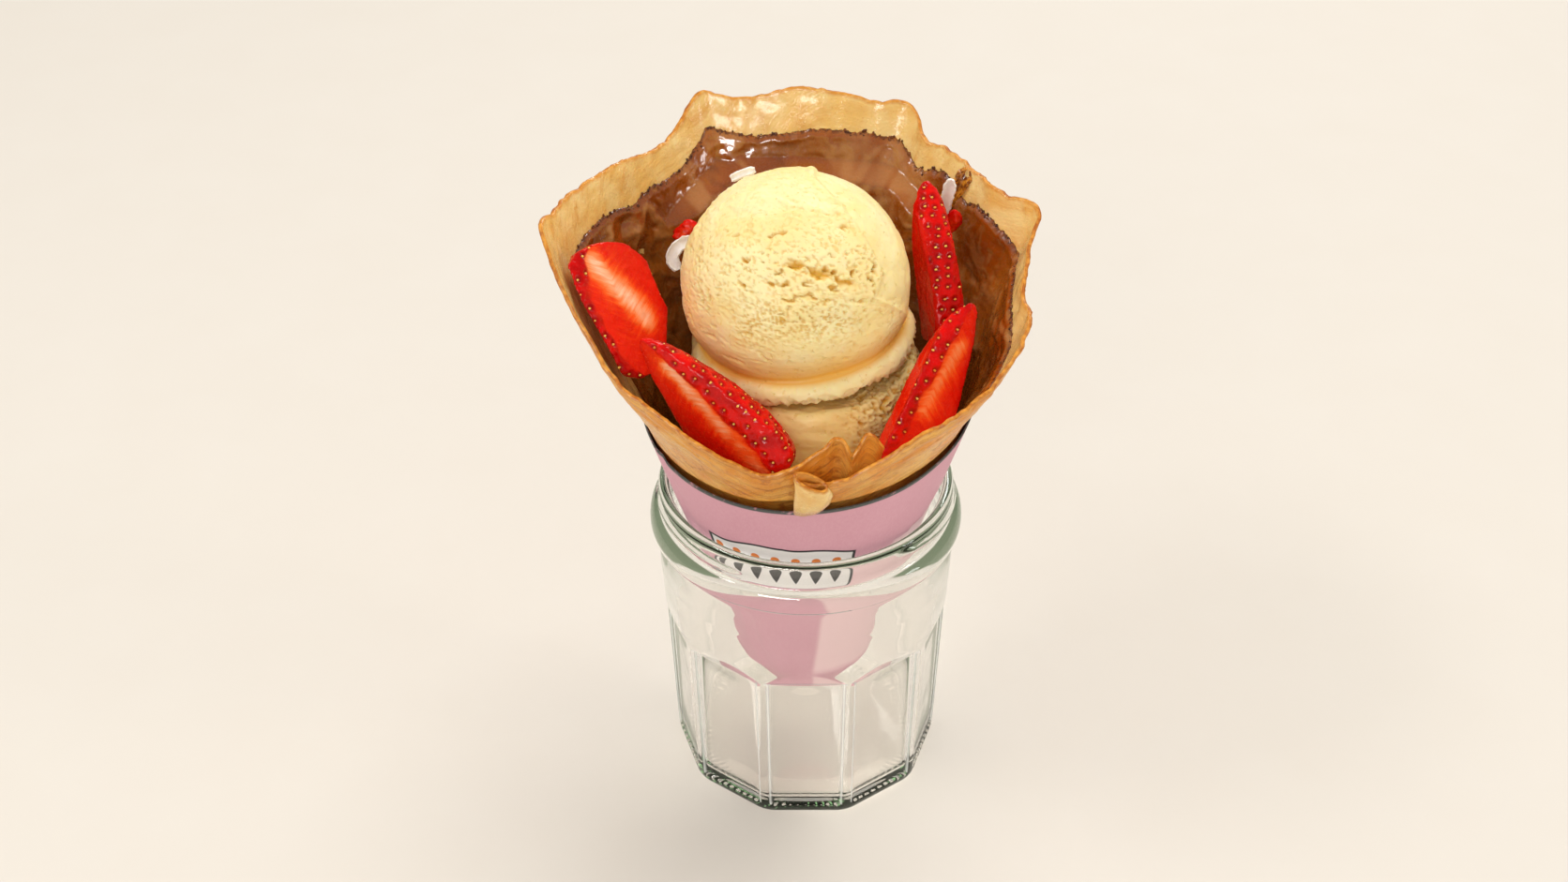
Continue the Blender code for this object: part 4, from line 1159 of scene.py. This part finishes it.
bpy.ops.mesh.primitive_uv_sphere_add(segments=370, ring_count=260, radius=1)
top_scoop = named("vanilla_scoop_top")
spots, outward, turn = lay_rings(top_scoop, TOP_PROFILE, 0.74, 0.95)
print("top scoop points:", len(spots))

# %% [markdown]
# The surface is read as zones. The spoon came over the dome from the left and left smooth strands on top,
# open pits across the middle, a crumpled band below them, and a clean scraped flank on the right. Each zone
# is a mask, and each kind of pit is noise that is drawn out along the spoon's way and cut off at a level.

# %% Tear the top scoop open
SWEEP = np.array([0.94, -0.207, -0.27])
SWEEP = SWEEP / np.linalg.norm(SWEEP)
FACE_UP = np.array([0, 0.61, 0.792])


def along_sweep(points, squeeze=0.3):
    """The points with their distances along the spoon's way shortened, so that noise on them is drawn out."""
    along = points @ SWEEP
    return points - np.outer(along * (1 - squeeze), SWEEP)


def jumbled(points, size, amount, seed):
    """The points, each pushed a random way, so that noise on them loses its regular grain."""
    return points + amount * np.stack([lumps(points, size, seed + k, 2) for k in range(3)], 1)


def tear(points, outward, turn):
    height = points[:, 2]
    right, up = points[:, 0], points @ FACE_UP
    front = ease((np.cos(np.radians(turn)) + 0.45) / 0.8)
    dome = ease((height + 10.5) / 3)
    edge = right - np.interp(up, [-10, -6.5, -0.9, 8, 16.8, 24], [27, 19.5, 22.0, 18, 12.6, 7])
    scraped = ease(edge / 1.2) * dome * ease((up + 10) / 4)
    open_zone = (1 - 0.92 * scraped) * dome
    loose = along_sweep(jumbled(points, 4.5, 1.3, 81), 0.42)
    clusters = ease((lumps(points, 8.5, 51, 2) + 0.35) / 0.6)
    middle = np.exp(-((up - 2) / 8.5) ** 2)
    crumpled = np.exp(-((up + 11) / 5.2) ** 2) * ease((17 - np.abs(right)) / 6) * front
    upper = ease((up - 9) / 6)
    pits = ease((lumps(loose, 1.75, 52, 2) - 0.34) / 0.22) * clusters * (0.25 + 0.75 * middle) * (1 - 0.6 * upper)
    row = up - (2.2 - 0.36 * right)
    wander = 0.9 * lumps(points, 5.0, 53, 2)
    near_row = np.exp(-((row + wander) / 1.15) ** 2) * ease((right + 1) / 3) * ease((16.5 - right) / 3) * front
    trench = near_row * ease((lumps(loose, 2.2, 54, 2) + 0.30) / 0.3)
    small = ease((lumps(along_sweep(jumbled(points, 2.0, 0.7, 84), 0.7), 0.95, 55, 2) - 0.22) / 0.22)
    fine = ease((lumps(jumbled(points, 2.0, 0.8, 87) * (1.25, 1, 0.75), 0.80, 56, 2) - 0.05) / 0.35)
    strands = np.maximum(0, lumps(along_sweep(jumbled(points, 6, 1.4, 90), 0.22), 2.6, 57, 2)) * upper
    push = 0.35 * lumps(points, 13, 58, 2) + 0.20 * lumps(loose, 5.0, 59, 2) * dome
    push += 0.55 * strands * (1 - scraped)
    push -= open_zone * (1.45 * pits + 0.48 * small * (0.18 + 0.5 * middle) + 0.42 * fine * crumpled + 1.35 * trench)
    push += 0.07 * lumps(points, 1.1, 60, 2) * open_zone
    push += dome * (0.30 * bump(edge + 0.6, 1.5) - 0.45 * scraped) + 0.16 * scraped * lumps(loose, 3.0, 61, 2)
    on_skirt = ease((-11.8 - height) / 1.6) * ease((np.hypot(right, points[:, 1]) - 21) / 4)
    spot = np.stack([turn * 0.5, 0 * turn, 0 * turn], 1)
    wave = lumps(spot, 12.0, 62, 2)
    frill = lumps(np.stack([turn * 0.5, height * 0.7, 0 * turn], 1), 1.5, 63, 2)
    lower_edge = bump(height + 16.6, 2.2)
    push += on_skirt * (0.45 * wave + 0.55 * lower_edge * frill + 0.50 * lower_edge * np.abs(lumps(points, 0.8, 64, 2)))
    moved = points + outward * push[:, None]
    moved[:, 2] -= on_skirt * (0.9 * lumps(spot, 9.0, 65, 2) + 0.35 * frill)
    # hollow: the pits and the trench, which the material paints a deeper yellow as painted shade
    hollow = np.clip(1.1 * pits + 0.55 * small * (0.2 + 0.6 * middle) + 0.75 * fine * crumpled + trench, 0, 1) * open_zone
    groove = bump(height + 11.6, 1.7)
    return moved, hollow, groove


torn, hollow, groove = tear(spots, outward, turn)
lean = math.radians(TOP_LEAN)
leaning = np.stack([torn[:, 0] * math.cos(lean) + torn[:, 2] * math.sin(lean), torn[:, 1],
                    torn[:, 2] * math.cos(lean) - torn[:, 0] * math.sin(lean)], 1)
put(top_scoop, leaning + TOP_CENTRE)
keep_value(top_scoop, "hollow", hollow)
keep_value(top_scoop, "painted_light_lower", np.zeros(len(spots)))
# tucked: the dome's lower flank and the groove above the skirt, which the material gives painted shade
keep_value(top_scoop, "tucked", np.clip(ease((-1 - spots[:, 2]) / 10) * 0.75 * (spots[:, 2] > -12.2) + groove, 0, 1))
smooth(top_scoop)

# %% [markdown]
# The lower scoop is pressed flat by the upper one. Its middle is smooth, while its right edge tore in
# small notches like a comb's, because the spoon left it there.

# %% Shape the lower scoop
bpy.ops.mesh.primitive_uv_sphere_add(segments=330, ring_count=220, radius=1)
low_scoop = named("vanilla_scoop_lower")
spots, outward, turn = lay_rings(low_scoop, LOW_PROFILE, 0.86, 0.92)
height = spots[:, 2]
side = ease((turn - 14) / 20) * ease((112 - turn) / 20) * ease((height + 16) / 8)
torn_edge = np.abs(lumps(along_sweep(jumbled(spots, 3, 0.8, 95), 0.5), 1.35, 66, 2))
holes = ease((lumps(jumbled(spots, 3, 0.8, 98), 1.5, 67, 2) - 0.36) / 0.25) * (0.15 + 0.85 * side)
push = 0.55 * lumps(spots, 9, 68, 2) + 0.30 * lumps(along_sweep(spots, 0.4), 3.4, 69, 2)
push += 0.08 * lumps(spots, 1.0, 70, 2) - 0.75 * holes + side * (0.5 - 1.5 * torn_edge)
put(low_scoop, spots + outward * push[:, None] + LOW_CENTRE)
keep_value(low_scoop, "hollow", np.clip(holes + side * ease((torn_edge - 0.25) * 3) * 0.8, 0, 1))
# the lower scoop is marked for painted light
keep_value(low_scoop, "painted_light_lower", np.ones(len(spots)))
# tucked: the top of the lower scoop, under the upper one, for painted shade
keep_value(low_scoop, "tucked", 0.22 * ease((height - 3.5) / 8) * (1 - 0.6 * side))
smooth(low_scoop)

# %% [markdown]
# Ice cream scatters light below its surface, which fills the small shadows with a warm yellow. A little
# subsurface scattering does that. Pits, pores and the places under the skirt are painted a deeper colour:
# painted shade, for the light that bounces about in them and takes up more of the custard each time.

# %% Vanilla
vanilla, tree, shader = new_material("vanilla_ice", Roughness=0.42, Subsurface_Weight=0.30, Subsurface_Scale=0.0022)
shader.inputs["Subsurface Radius"].default_value = (1.0, 0.62, 0.22)
shader.inputs["Specular IOR Level"].default_value = 0.4
place_on = here(tree)
cloud = between(tree, grain(tree, place_on, 12.0, 2.0), 0.35, 0.65)
colour = blend(tree, cloud, paint(246, 223, 154), paint(248, 232, 174))
# painted light: the lower scoop, in the upper one's shade, is painted a brighter, warmer yellow
colour = blend(tree, own(tree, "painted_light_lower"), colour, paint(255, 230, 160))
creamy = use(tree, pores, Place=place_on, Pore_Scale=0.8, Openness=0.25)
# painted shade: pores, pits and tucked places are painted a deeper yellow
colour = blend(tree, maths(tree, "MULTIPLY", creamy["Mask"], 0.4), colour, paint(236, 200, 104))
colour = blend(tree, maths(tree, "MULTIPLY", own(tree, "hollow"), 0.95), colour, paint(226, 168, 36))
colour = blend(tree, maths(tree, "MULTIPLY", own(tree, "tucked"), 0.85), colour, paint(240, 180, 56))
tree.links.new(colour, shader.inputs["Base Color"])
damp = use(tree, wet_film, Place=place_on, Drop_Scale=0.5, Wetness=0.5)
tree.links.new(damp["Roughness"], shader.inputs["Roughness"])
tree.links.new(relief(tree, creamy["Height"], 0.10), shader.inputs["Normal"])
for scoop, node in ((top_scoop, "scoop_top"), (low_scoop, "scoop_lower")):
    scoop.data.materials.append(vanilla)
    place(scoop, "ice_cream", node)

# %% [markdown]
# ## Strawberries, cut and set in
# Each piece is part of a whole berry: a half, a slice or a wedge. So each one starts as a whole berry, a UV
# sphere laid along the berry's profile, and is then cut by planes as with a knife. Bisect leaves hard
# edges and one big face on each cut. A voxel remesh after it gives even faces all over and rounds the edges
# a little, as soft fruit does. The seeds come last, each one sitting in a dimple of the skin.

# %% Berry outlines and cuts
LONG_BERRY = [
    (0, 0), (0.1, 0.01), (0.24, 0.06), (0.42, 0.16), (0.6, 0.3), (0.78, 0.46), (0.93, 0.62), (1, 0.76),
    (0.97, 0.87), (0.8, 0.95), (0.45, 0.99), (0, 1),
]
ROUND_BERRY = [
    (0, 0), (0.25, 0.015), (0.5, 0.08), (0.74, 0.2), (0.92, 0.36), (1, 0.52), (0.98, 0.68), (0.88, 0.81),
    (0.7, 0.91), (0.42, 0.975), (0, 1),
]
# profile, tip, butt, width, cuts as (outward normal, distance from the axis)
BERRIES = {
    "strawberry_left": (ROUND_BERRY, (-37.8, -22.4, 139.2), (-50.6, -4.4, 165.8), 30.5,
                        [((0.7, -0.37, 0.6), 0.0), ((-0.7, 0.37, -0.6), 4.6)]),
    "strawberry_front_left": (LONG_BERRY, (-39.5, -28.0, 153.2), (-9.4, -40.0, 117.6), 27.0,
                              [((-0.52, -0.84, -0.15), 0.0), ((0.52, 0.84, 0.15), 8.2)]),
    "strawberry_back_right": (LONG_BERRY, (30.4, 25.0, 166.0), (35.0, 4.0, 131.0), 19.0,
                              [((0.95, 0.3, 0.0), 3.9), ((-0.95, -0.3, 0.0), 4.2), ((0.0, 0.85, -0.5), 4.0)]),
    "strawberry_front_right": (LONG_BERRY, (41.2, -12.0, 153.2), (21.5, -38.0, 121.4), 22.0,
                               [((0.5, -0.8, 0.3), 0.0), ((-0.6, 0.1, 0.8), 5.0), ((-0.5, 0.8, -0.3), 6.5)]),
}
# outward normal and a point: where a piece leans on the crepe it is flattened
TRIMS = {
    "strawberry_left": [((-0.865, -0.387, -0.33), (-47.2, -21.0, 145.0)),
                        ((-0.95, -0.1, -0.3), (-54.6, -12.0, 160.0))],
    "strawberry_front_left": [((-0.235, -0.877, -0.42), (-10.2, -38.2, 117.0)),
                              ((-0.1, -0.99, 0.1), (-4.5, -43.5, 126.4))],
    "strawberry_front_right": [((0.6, -0.66, -0.45), (25.0, -29.6, 118.0)),
                               ((-0.7, -0.7, -0.1), (17.8, -37.4, 120.0))],
}
# The knife's slanting cut leaves skin on part of the cut side: the way it lies, and from what share across.
# Then the pale heart, as a line, its half width and how pale it is.
SKIN_SIDE = {
    "strawberry_left": ((-0.5, -0.6, -0.6), 0.52),
    "strawberry_front_left": ((0.6, 0.3, 0.7), 0.38),
    "strawberry_front_right": ((-0.7, -0.4, -0.6), 0.15),
}
HEARTS = {
    "strawberry_left": ((-51.0, -9.4, 163.0), (-38.6, -10.8, 148.5), 3.4, 0.9),
    "strawberry_front_left": ((-33.6, -32.0, 147.5), (-11.8, -42.5, 122.5), 2.6, 1.0),
    "strawberry_front_right": ((28.0, -28.0, 132.6), (37.5, -18.0, 144.6), 2.2, 0.62),
}
SEED_SPACING = 3.1


def cut_away(piece, point, normal):
    """Slice the piece by a plane, drop what lies beyond and close the cut."""
    edit(piece)
    bpy.ops.mesh.bisect(plane_co=Vector(point) * MM, plane_no=normal, use_fill=True, clear_outer=True)
    leave()


def berry_planes(name):
    """All cuts of a berry as (point, unit outward normal)."""
    profile, tip, butt, width, cuts = BERRIES[name]
    axis = (Vector(butt) - Vector(tip)).normalized()
    middle = (Vector(tip) + Vector(butt)) / 2
    planes = []
    for normal, distance in cuts:
        normal = Vector(normal)
        normal = (normal - axis * normal.dot(axis)).normalized()
        planes.append((middle + normal * distance, normal))
    return planes + [(Vector(point), Vector(normal).normalized()) for normal, point in TRIMS.get(name, [])]


def make_berry(name, seed):
    """Carve one berry piece and return it with its seeds' places."""
    profile, tip, butt, width, cuts = BERRIES[name]
    tip, butt = Vector(tip), Vector(butt)
    axis = (butt - tip).normalized()
    length = (butt - tip).length
    scaled = [(radius * width / 2, share * length) for radius, share in profile]
    chain = even_chain(scaled, 0.3)
    bpy.ops.mesh.primitive_uv_sphere_add(segments=96, ring_count=72, radius=1)
    berry = named(name + "_cut")
    unit = points_of(berry) / 1000
    share = 1 - np.arccos(np.clip(unit[:, 2], -1, 1)) / math.pi
    share = 1 - share
    along = np.linspace(0, 1, len(chain))
    radius, rise = np.interp(share, along, chain[:, 0]), np.interp(share, along, chain[:, 1])
    turn = np.arctan2(unit[:, 1], unit[:, 0])
    flat = np.stack([radius * np.cos(turn), radius * np.sin(turn), rise], 1)
    flat[:, :2] *= (1 + (0.10 if name == "strawberry_left" else 0.035) * lumps(flat, 8.0, seed, 2))[:, None]
    rotation = np.array(Vector((0, 0, 1)).rotation_difference(axis).to_matrix())
    put(berry, flat @ rotation.T + np.array(tip))
    planes = berry_planes(name)
    for point, normal in planes:
        cut_away(berry, point, normal)
    edit(berry)
    bpy.ops.mesh.normals_make_consistent(inside=False)
    leave()
    even = berry.modifiers.new("even_faces", "REMESH")
    even.mode = "VOXEL"
    even.voxel_size = 0.38 * MM
    soften = berry.modifiers.new("soften", "SMOOTH")
    soften.factor = 0.5
    soften.iterations = 4
    apply_all(berry)
    points = points_of(berry)
    local = (points - np.array(tip)) @ rotation
    inner = np.stack([(points - np.array(point)) @ np.array(normal) for point, normal in planes], 1)
    on_cut = ease((inner[:, :len(cuts)].max(axis=1) + 0.75) / 0.55)
    skin_radius = np.interp(local[:, 2], chain[:, 1], chain[:, 0])
    core = np.hypot(local[:, 0], local[:, 1])
    wrapped = np.zeros(len(points))
    if name in SKIN_SIDE:
        side, start = SKIN_SIDE[name]
        point, normal = planes[0]
        side = Vector(side) - axis * axis.dot(side) - normal * normal.dot(side)
        across = (points - np.array(point)) @ np.array(side.normalized()) / np.maximum(skin_radius, 2)
        near_cut = np.clip(1 + inner[:, 0] / 6, 0, 1)
        wrapped = ease((across - start + 0.09 * lumps(points, 5.0, seed + 3, 2)) / 0.10) * (inner[:, 0] > -1.2)
        sunk = 0.34 * skin_radius * np.clip(across - start + 0.05, 0, 1) ** 2 * near_cut
        points = points - np.array(normal) * sunk[:, None]
        on_cut = on_cut * (1 - wrapped)
    heart = np.zeros(len(points))
    if name in HEARTS:
        first, last, reach, strength = HEARTS[name]
        first, line = np.array(first), np.array(last) - np.array(first)
        on_line = np.clip((points - first) @ line / (line @ line), 0, 1)
        away = np.linalg.norm(points - first - on_line[:, None] * line, axis=1)
        heart = strength * np.exp(-(away / (reach * (1.25 + 0.4 * lumps(points, 5.0, seed + 4, 2)))) ** 2)
    depth = np.maximum(0, skin_radius - core)
    seeds = []
    chance = random.Random(seed)
    rows = int(length / (SEED_SPACING * 0.82))
    for row in range(rows):
        rise = (row + 0.6) / rows * length
        wide = np.interp(rise, chain[:, 1], chain[:, 0])
        count = max(3, int(math.tau * wide / SEED_SPACING))
        for k in range(count):
            spin = (k + 0.5 * (row % 2) + chance.uniform(-0.22, 0.22)) / count * math.tau
            place_on = np.array([wide * math.cos(spin), wide * math.sin(spin), rise + chance.uniform(-0.5, 0.5)])
            world = rotation @ place_on + np.array(tip)
            if max((world - np.array(point)) @ np.array(normal) for point, normal in planes) > -0.5:
                continue
            seeds.append(world)
    wrapped_spots = np.flatnonzero((wrapped > 0.9) & (depth > 0.6) & (inner.max(axis=1) > -1.5))
    for index in chance.sample(list(wrapped_spots), min(900, len(wrapped_spots))):
        if all(np.linalg.norm(points[index] - other) > SEED_SPACING * 0.95 for other in seeds):
            seeds.append(points[index])
    seeds = np.array(seeds)
    nearest = np.full(len(points), 99.0)
    closest = []
    for place_on in seeds:
        away = np.linalg.norm(points - place_on, axis=1)
        closest.append(int(away.argmin()))
        nearest = np.minimum(nearest, away)
    normals = np.empty(len(points) * 3, np.float32)
    berry.data.vertices.foreach_get("normal", normals)
    normals = normals.reshape(-1, 3)
    skin = 1 - on_cut
    push = skin * (0.20 * bump(nearest - 1.4, 0.9) - 0.40 * bump(nearest, 1.05) + 0.10 * lumps(points, 3.0, seed + 1, 2))
    push += on_cut * (0.12 * lumps(points, 2.2, seed + 2, 3) - 0.10)
    pressed = points + normals * push[:, None]
    put(berry, pressed)
    keep_value(berry, "on_cut", on_cut)
    keep_value(berry, "depth", depth)
    keep_value(berry, "core", core / np.maximum(skin_radius, 0.5))
    keep_value(berry, "across", core)
    keep_value(berry, "along", local[:, 2])
    keep_value(berry, "by_seed", bump(nearest, 1.5))
    keep_value(berry, "heart", heart)
    smooth(berry)
    places = []
    for index, place_on in zip(closest, seeds):
        normal = Vector(normals[index].tolist())
        size = 1.0 if on_cut[index] < 0.3 else 0.0
        if size:
            places.append(frame_at(pressed[index] + np.array(normal) * 0.10, normal, axis.orthogonal() if abs(normal.dot(axis)) > 0.95 else axis.cross(normal), (0.28, 0.42, 0.24)))
    return berry, places


berries, seed_places = [], []
for number, name in enumerate(BERRIES):
    berry, places = make_berry(name, 70 + 4 * number)
    berries.append((berry, name))
    seed_places += places
    print(name, "faces", len(berry.data.polygons), "seeds", len(places))

# %% Seeds
bpy.ops.mesh.primitive_uv_sphere_add(segments=10, ring_count=6, radius=1)
seed_model = named("berry_seed")
seed_points = points_of(seed_model)
taper = 1 - 0.32 * seed_points[:, 1] / 1000
seed_points[:, 0] *= taper
seed_points[:, 2] *= taper
put(seed_model, seed_points)
seed_piece = scatter(seed_model, seed_places, "strawberry_seeds")
smooth(seed_piece)

# %% [markdown]
# A cut strawberry is red just under the skin, orange-red further in, and pale at the heart, with fine light
# fibres that run from the heart to the seeds. The berry's depth under its skin was stored on every point,
# so one ramp colours skin and cut face alike, wherever the knife went.

# %% Strawberry flesh and skin
fruit, tree, shader = new_material("strawberry_flesh", Roughness=0.3, Coat_Weight=0.14, Coat_Roughness=0.03)
shader.inputs["Subsurface Weight"].default_value = 0.10
shader.inputs["Subsurface Scale"].default_value = 0.002
shader.inputs["Subsurface Radius"].default_value = (1.0, 0.25, 0.12)
shader.inputs["Specular IOR Level"].default_value = 0.15
place_on = here(tree)
on_cut = own(tree, "on_cut")
depth = own(tree, "depth")
core = own(tree, "core")
slanted = maths(tree, "SUBTRACT", own(tree, "along"), maths(tree, "MULTIPLY", own(tree, "across"), 0.55))
fibre_place = add(tree, "ShaderNodeCombineXYZ", {0: maths(tree, "MULTIPLY", own(tree, "across"), 0.14), 1: slanted}).outputs[0]
fibres = noise_at(tree, fibre_place, 0.85, 3.0, 0.6)
heart = maths(tree, "SUBTRACT", own(tree, "heart"), maths(tree, "MULTIPLY", core, 0.06))
heart = maths(tree, "ADD", heart, maths(tree, "MULTIPLY", maths(tree, "SUBTRACT", fibres, 0.5), 0.8))
flesh = ramp(tree, heart, [
    (0.0, paint(224, 24, 4)), (0.22, paint(236, 52, 10)), (0.45, paint(247, 92, 30)),
    (0.70, paint(251, 140, 84)), (1.0, paint(254, 196, 160))])
rim_red = between(tree, depth, 0.4, 2.2, 0.95, 0.0)
flesh = blend(tree, rim_red, flesh, paint(206, 10, 3))
skin_cloud = between(tree, grain(tree, place_on, 6.0, 2.0), 0.35, 0.65)
skin = blend(tree, skin_cloud, paint(182, 3, 2), paint(222, 10, 4))
# painted shade: the skin is painted darker red in the dimple round each seed
skin = blend(tree, maths(tree, "MULTIPLY", own(tree, "by_seed"), 0.8), skin, paint(112, 2, 2))
colour = blend(tree, on_cut, skin, flesh)
tree.links.new(colour, shader.inputs["Base Color"])
juice = use(tree, wet_film, Place=place_on, Drop_Scale=0.45, Wetness=0.95)
tree.links.new(juice["Roughness"], shader.inputs["Roughness"])
tree.links.new(relief(tree, juice["Height"], 0.30, relief(tree, fibres, 0.10)), shader.inputs["Normal"])
for berry, name in berries:
    berry.data.materials.append(fruit)
    place(berry, "strawberry", name)

seed_material, tree, shader = new_material("strawberry_seed", Roughness=0.35)
seed_shade = between(tree, grain(tree, here(tree), 6.0, 1.0), 0.4, 0.6)
tree.links.new(blend(tree, seed_shade, paint(250, 206, 96), paint(232, 150, 46)), shader.inputs["Base Color"])
seed_piece.data.materials.append(seed_material)
place(seed_piece, "strawberry", *BERRIES)

# %% [markdown]
# ## Small trimmings
# Two curled ends of strawberry peel and three shavings of white chocolate lie between the large pieces.
# A peel end is a stretched ball pressed hollow on one side. A shaving is a strip laid along a curve, which
# Solidify turns into a thin curl: thin at its rolled edges, with a ragged end where it broke off.

# %% Peel ends
BITS = {
    "strawberry_bit_right": ((35.0, 25.0, 147.6), (37.8, 25.2, 157.6), 2.4),
    "strawberry_bit_left": ((-30.9, 21.5, 149.0), (-29.8, 23.5, 155.6), 2.8),
}
for number, (name, (low, high, radius)) in enumerate(BITS.items()):
    bpy.ops.mesh.primitive_uv_sphere_add(segments=48, ring_count=36, radius=1)
    bit = named(name + "_peel")
    unit = points_of(bit) / 1000
    low, high = Vector(low), Vector(high)
    span = (high - low).length
    share = unit[:, 2]
    ragged = 1 + 0.28 * lumps(unit * 3, 1.3, 90 + number, 3)
    bend = 1.1 * (1 - share ** 2)
    shaped = np.stack([unit[:, 0] * radius * ragged, unit[:, 1] * radius * 0.75 * ragged + bend * 0.5 - 0.5,
                       share * span / 2], 1)
    shaped[:, 0] += 0.8 * np.sin(share * 2.6)
    turn = np.array(Vector((0, 0, 1)).rotation_difference(high - low).to_matrix())
    put(bit, shaped @ turn.T + np.array((low + high) / 2))
    keep_value(bit, "on_cut", ease((-unit[:, 1] - 0.1) * 3))
    keep_value(bit, "depth", 0.6 + 0.8 * ease(-unit[:, 1]))
    keep_value(bit, "core", 1.0 - 0.45 * ease(-unit[:, 1]))
    keep_value(bit, "across", np.abs(unit[:, 0]) * radius)
    keep_value(bit, "along", share * span / 2)
    keep_value(bit, "by_seed", np.zeros(len(unit)))
    keep_value(bit, "heart", 0.3 * ease(-unit[:, 1]))
    smooth(bit)
    bit.data.materials.append(fruit)
    place(bit, "strawberry", name)

# %% Shavings of white chocolate
SHAVINGS = {
    "white_shaving_right": ([(34.2, 28.6, 149.7), (35.9, 28.6, 157.5), (37.0, 28.8, 164.0)], 1.5),
    "white_shaving_left": (
        [(-28.2, 18.0, 152.6), (-31.6, 16.0, 152.6), (-33.8, 14.2, 150.0), (-32.4, 12.4, 147.2)], 1.5),
    "white_shaving_back": ([(-18.6, 17.0, 171.0), (-15.8, 17.6, 172.1), (-12.6, 18.2, 172.9)], 0.9),
}
SHAVING_FACING = Vector((0, -0.79, 0.61))
white, tree, shader = new_material("white_chocolate", Roughness=0.35, Subsurface_Weight=0.25, Subsurface_Scale=0.002)
shader.inputs["Subsurface Radius"].default_value = (1.0, 0.8, 0.6)
veil = between(tree, grain(tree, here(tree), 2.5), 0.3, 0.7)
tree.links.new(blend(tree, veil, paint(246, 240, 232), paint(232, 222, 212)), shader.inputs["Base Color"])


def lay_curl(name, path, half_width, thickness, cup, seed):
    """A strip laid along a curve and cupped across it."""
    bpy.ops.mesh.primitive_grid_add(x_subdivisions=60, y_subdivisions=12, size=0.2)
    curl = named(name)
    flat = points_of(curl) / 100
    share, wide = flat[:, 0] * 0.5 + 0.5, flat[:, 1]
    table = np.column_stack([np.linspace(0, 1, len(path)), np.array(path)])
    centre = np.stack([gentle(table, k, share) for k in (1, 2, 3)], 1)
    ahead = np.stack([gentle(table, k, np.minimum(share + 0.01, 1)) - gentle(table, k, np.maximum(share - 0.01, 0))
                      for k in (1, 2, 3)], 1)
    ahead /= np.linalg.norm(ahead, axis=1, keepdims=True)
    across = np.cross(ahead, np.array(SHAVING_FACING))
    across /= np.linalg.norm(across, axis=1, keepdims=True)
    thick = np.cross(across, ahead)
    ends = np.interp(share, [0, 0.12, 0.88, 1], [0.55, 1, 1, 0.45])
    ragged = 1 + 0.16 * lumps(np.stack([share * 12, wide * 2, 0 * share], 1), 1.0, seed, 2)
    cupped = (wide ** 2 - 0.5) * cup
    put(curl, centre + across * (wide * half_width * ends * ragged)[:, None] + thick * cupped[:, None])
    body = curl.modifiers.new("thickness", "SOLIDIFY")
    body.thickness = thickness * MM
    body.offset = 0
    apply_all(curl)
    smooth(curl, 50)
    return curl, share


for number, (name, (path, half_width)) in enumerate(SHAVINGS.items()):
    curl, _ = lay_curl(name + "_curl", path, half_width, 0.55, 0.55, 95 + number)
    curl.data.materials.append(white)
    place(curl, "white_chocolate", name)

# %% [markdown]
# Behind the right berry the crepe's rim was pinched and baked to a shiny brown curl. It is a strip like the
# shavings, only cupped deeper and in the colour of the rim.

# %% Browned curl
pinch_curl, _ = lay_curl(
    "browned_curl", [(35.8, 33.6, 153.6), (37.8, 33.8, 157.0), (40.0, 33.6, 160.6), (41.6, 34.6, 163.6)],
    1.8, 0.8, 1.7, 99)
toasted, tree, shader = new_material("crepe_toasted", Roughness=0.25, Coat_Weight=0.6, Coat_Roughness=0.08)
toast_shade = between(tree, grain(tree, here(tree), 1.6), 0.35, 0.62)
tree.links.new(blend(tree, toast_shade, paint(120, 58, 12), paint(226, 148, 44)), shader.inputs["Base Color"])
pinch_curl.data.materials.append(toasted)
place(pinch_curl, "crepe", "crepe")
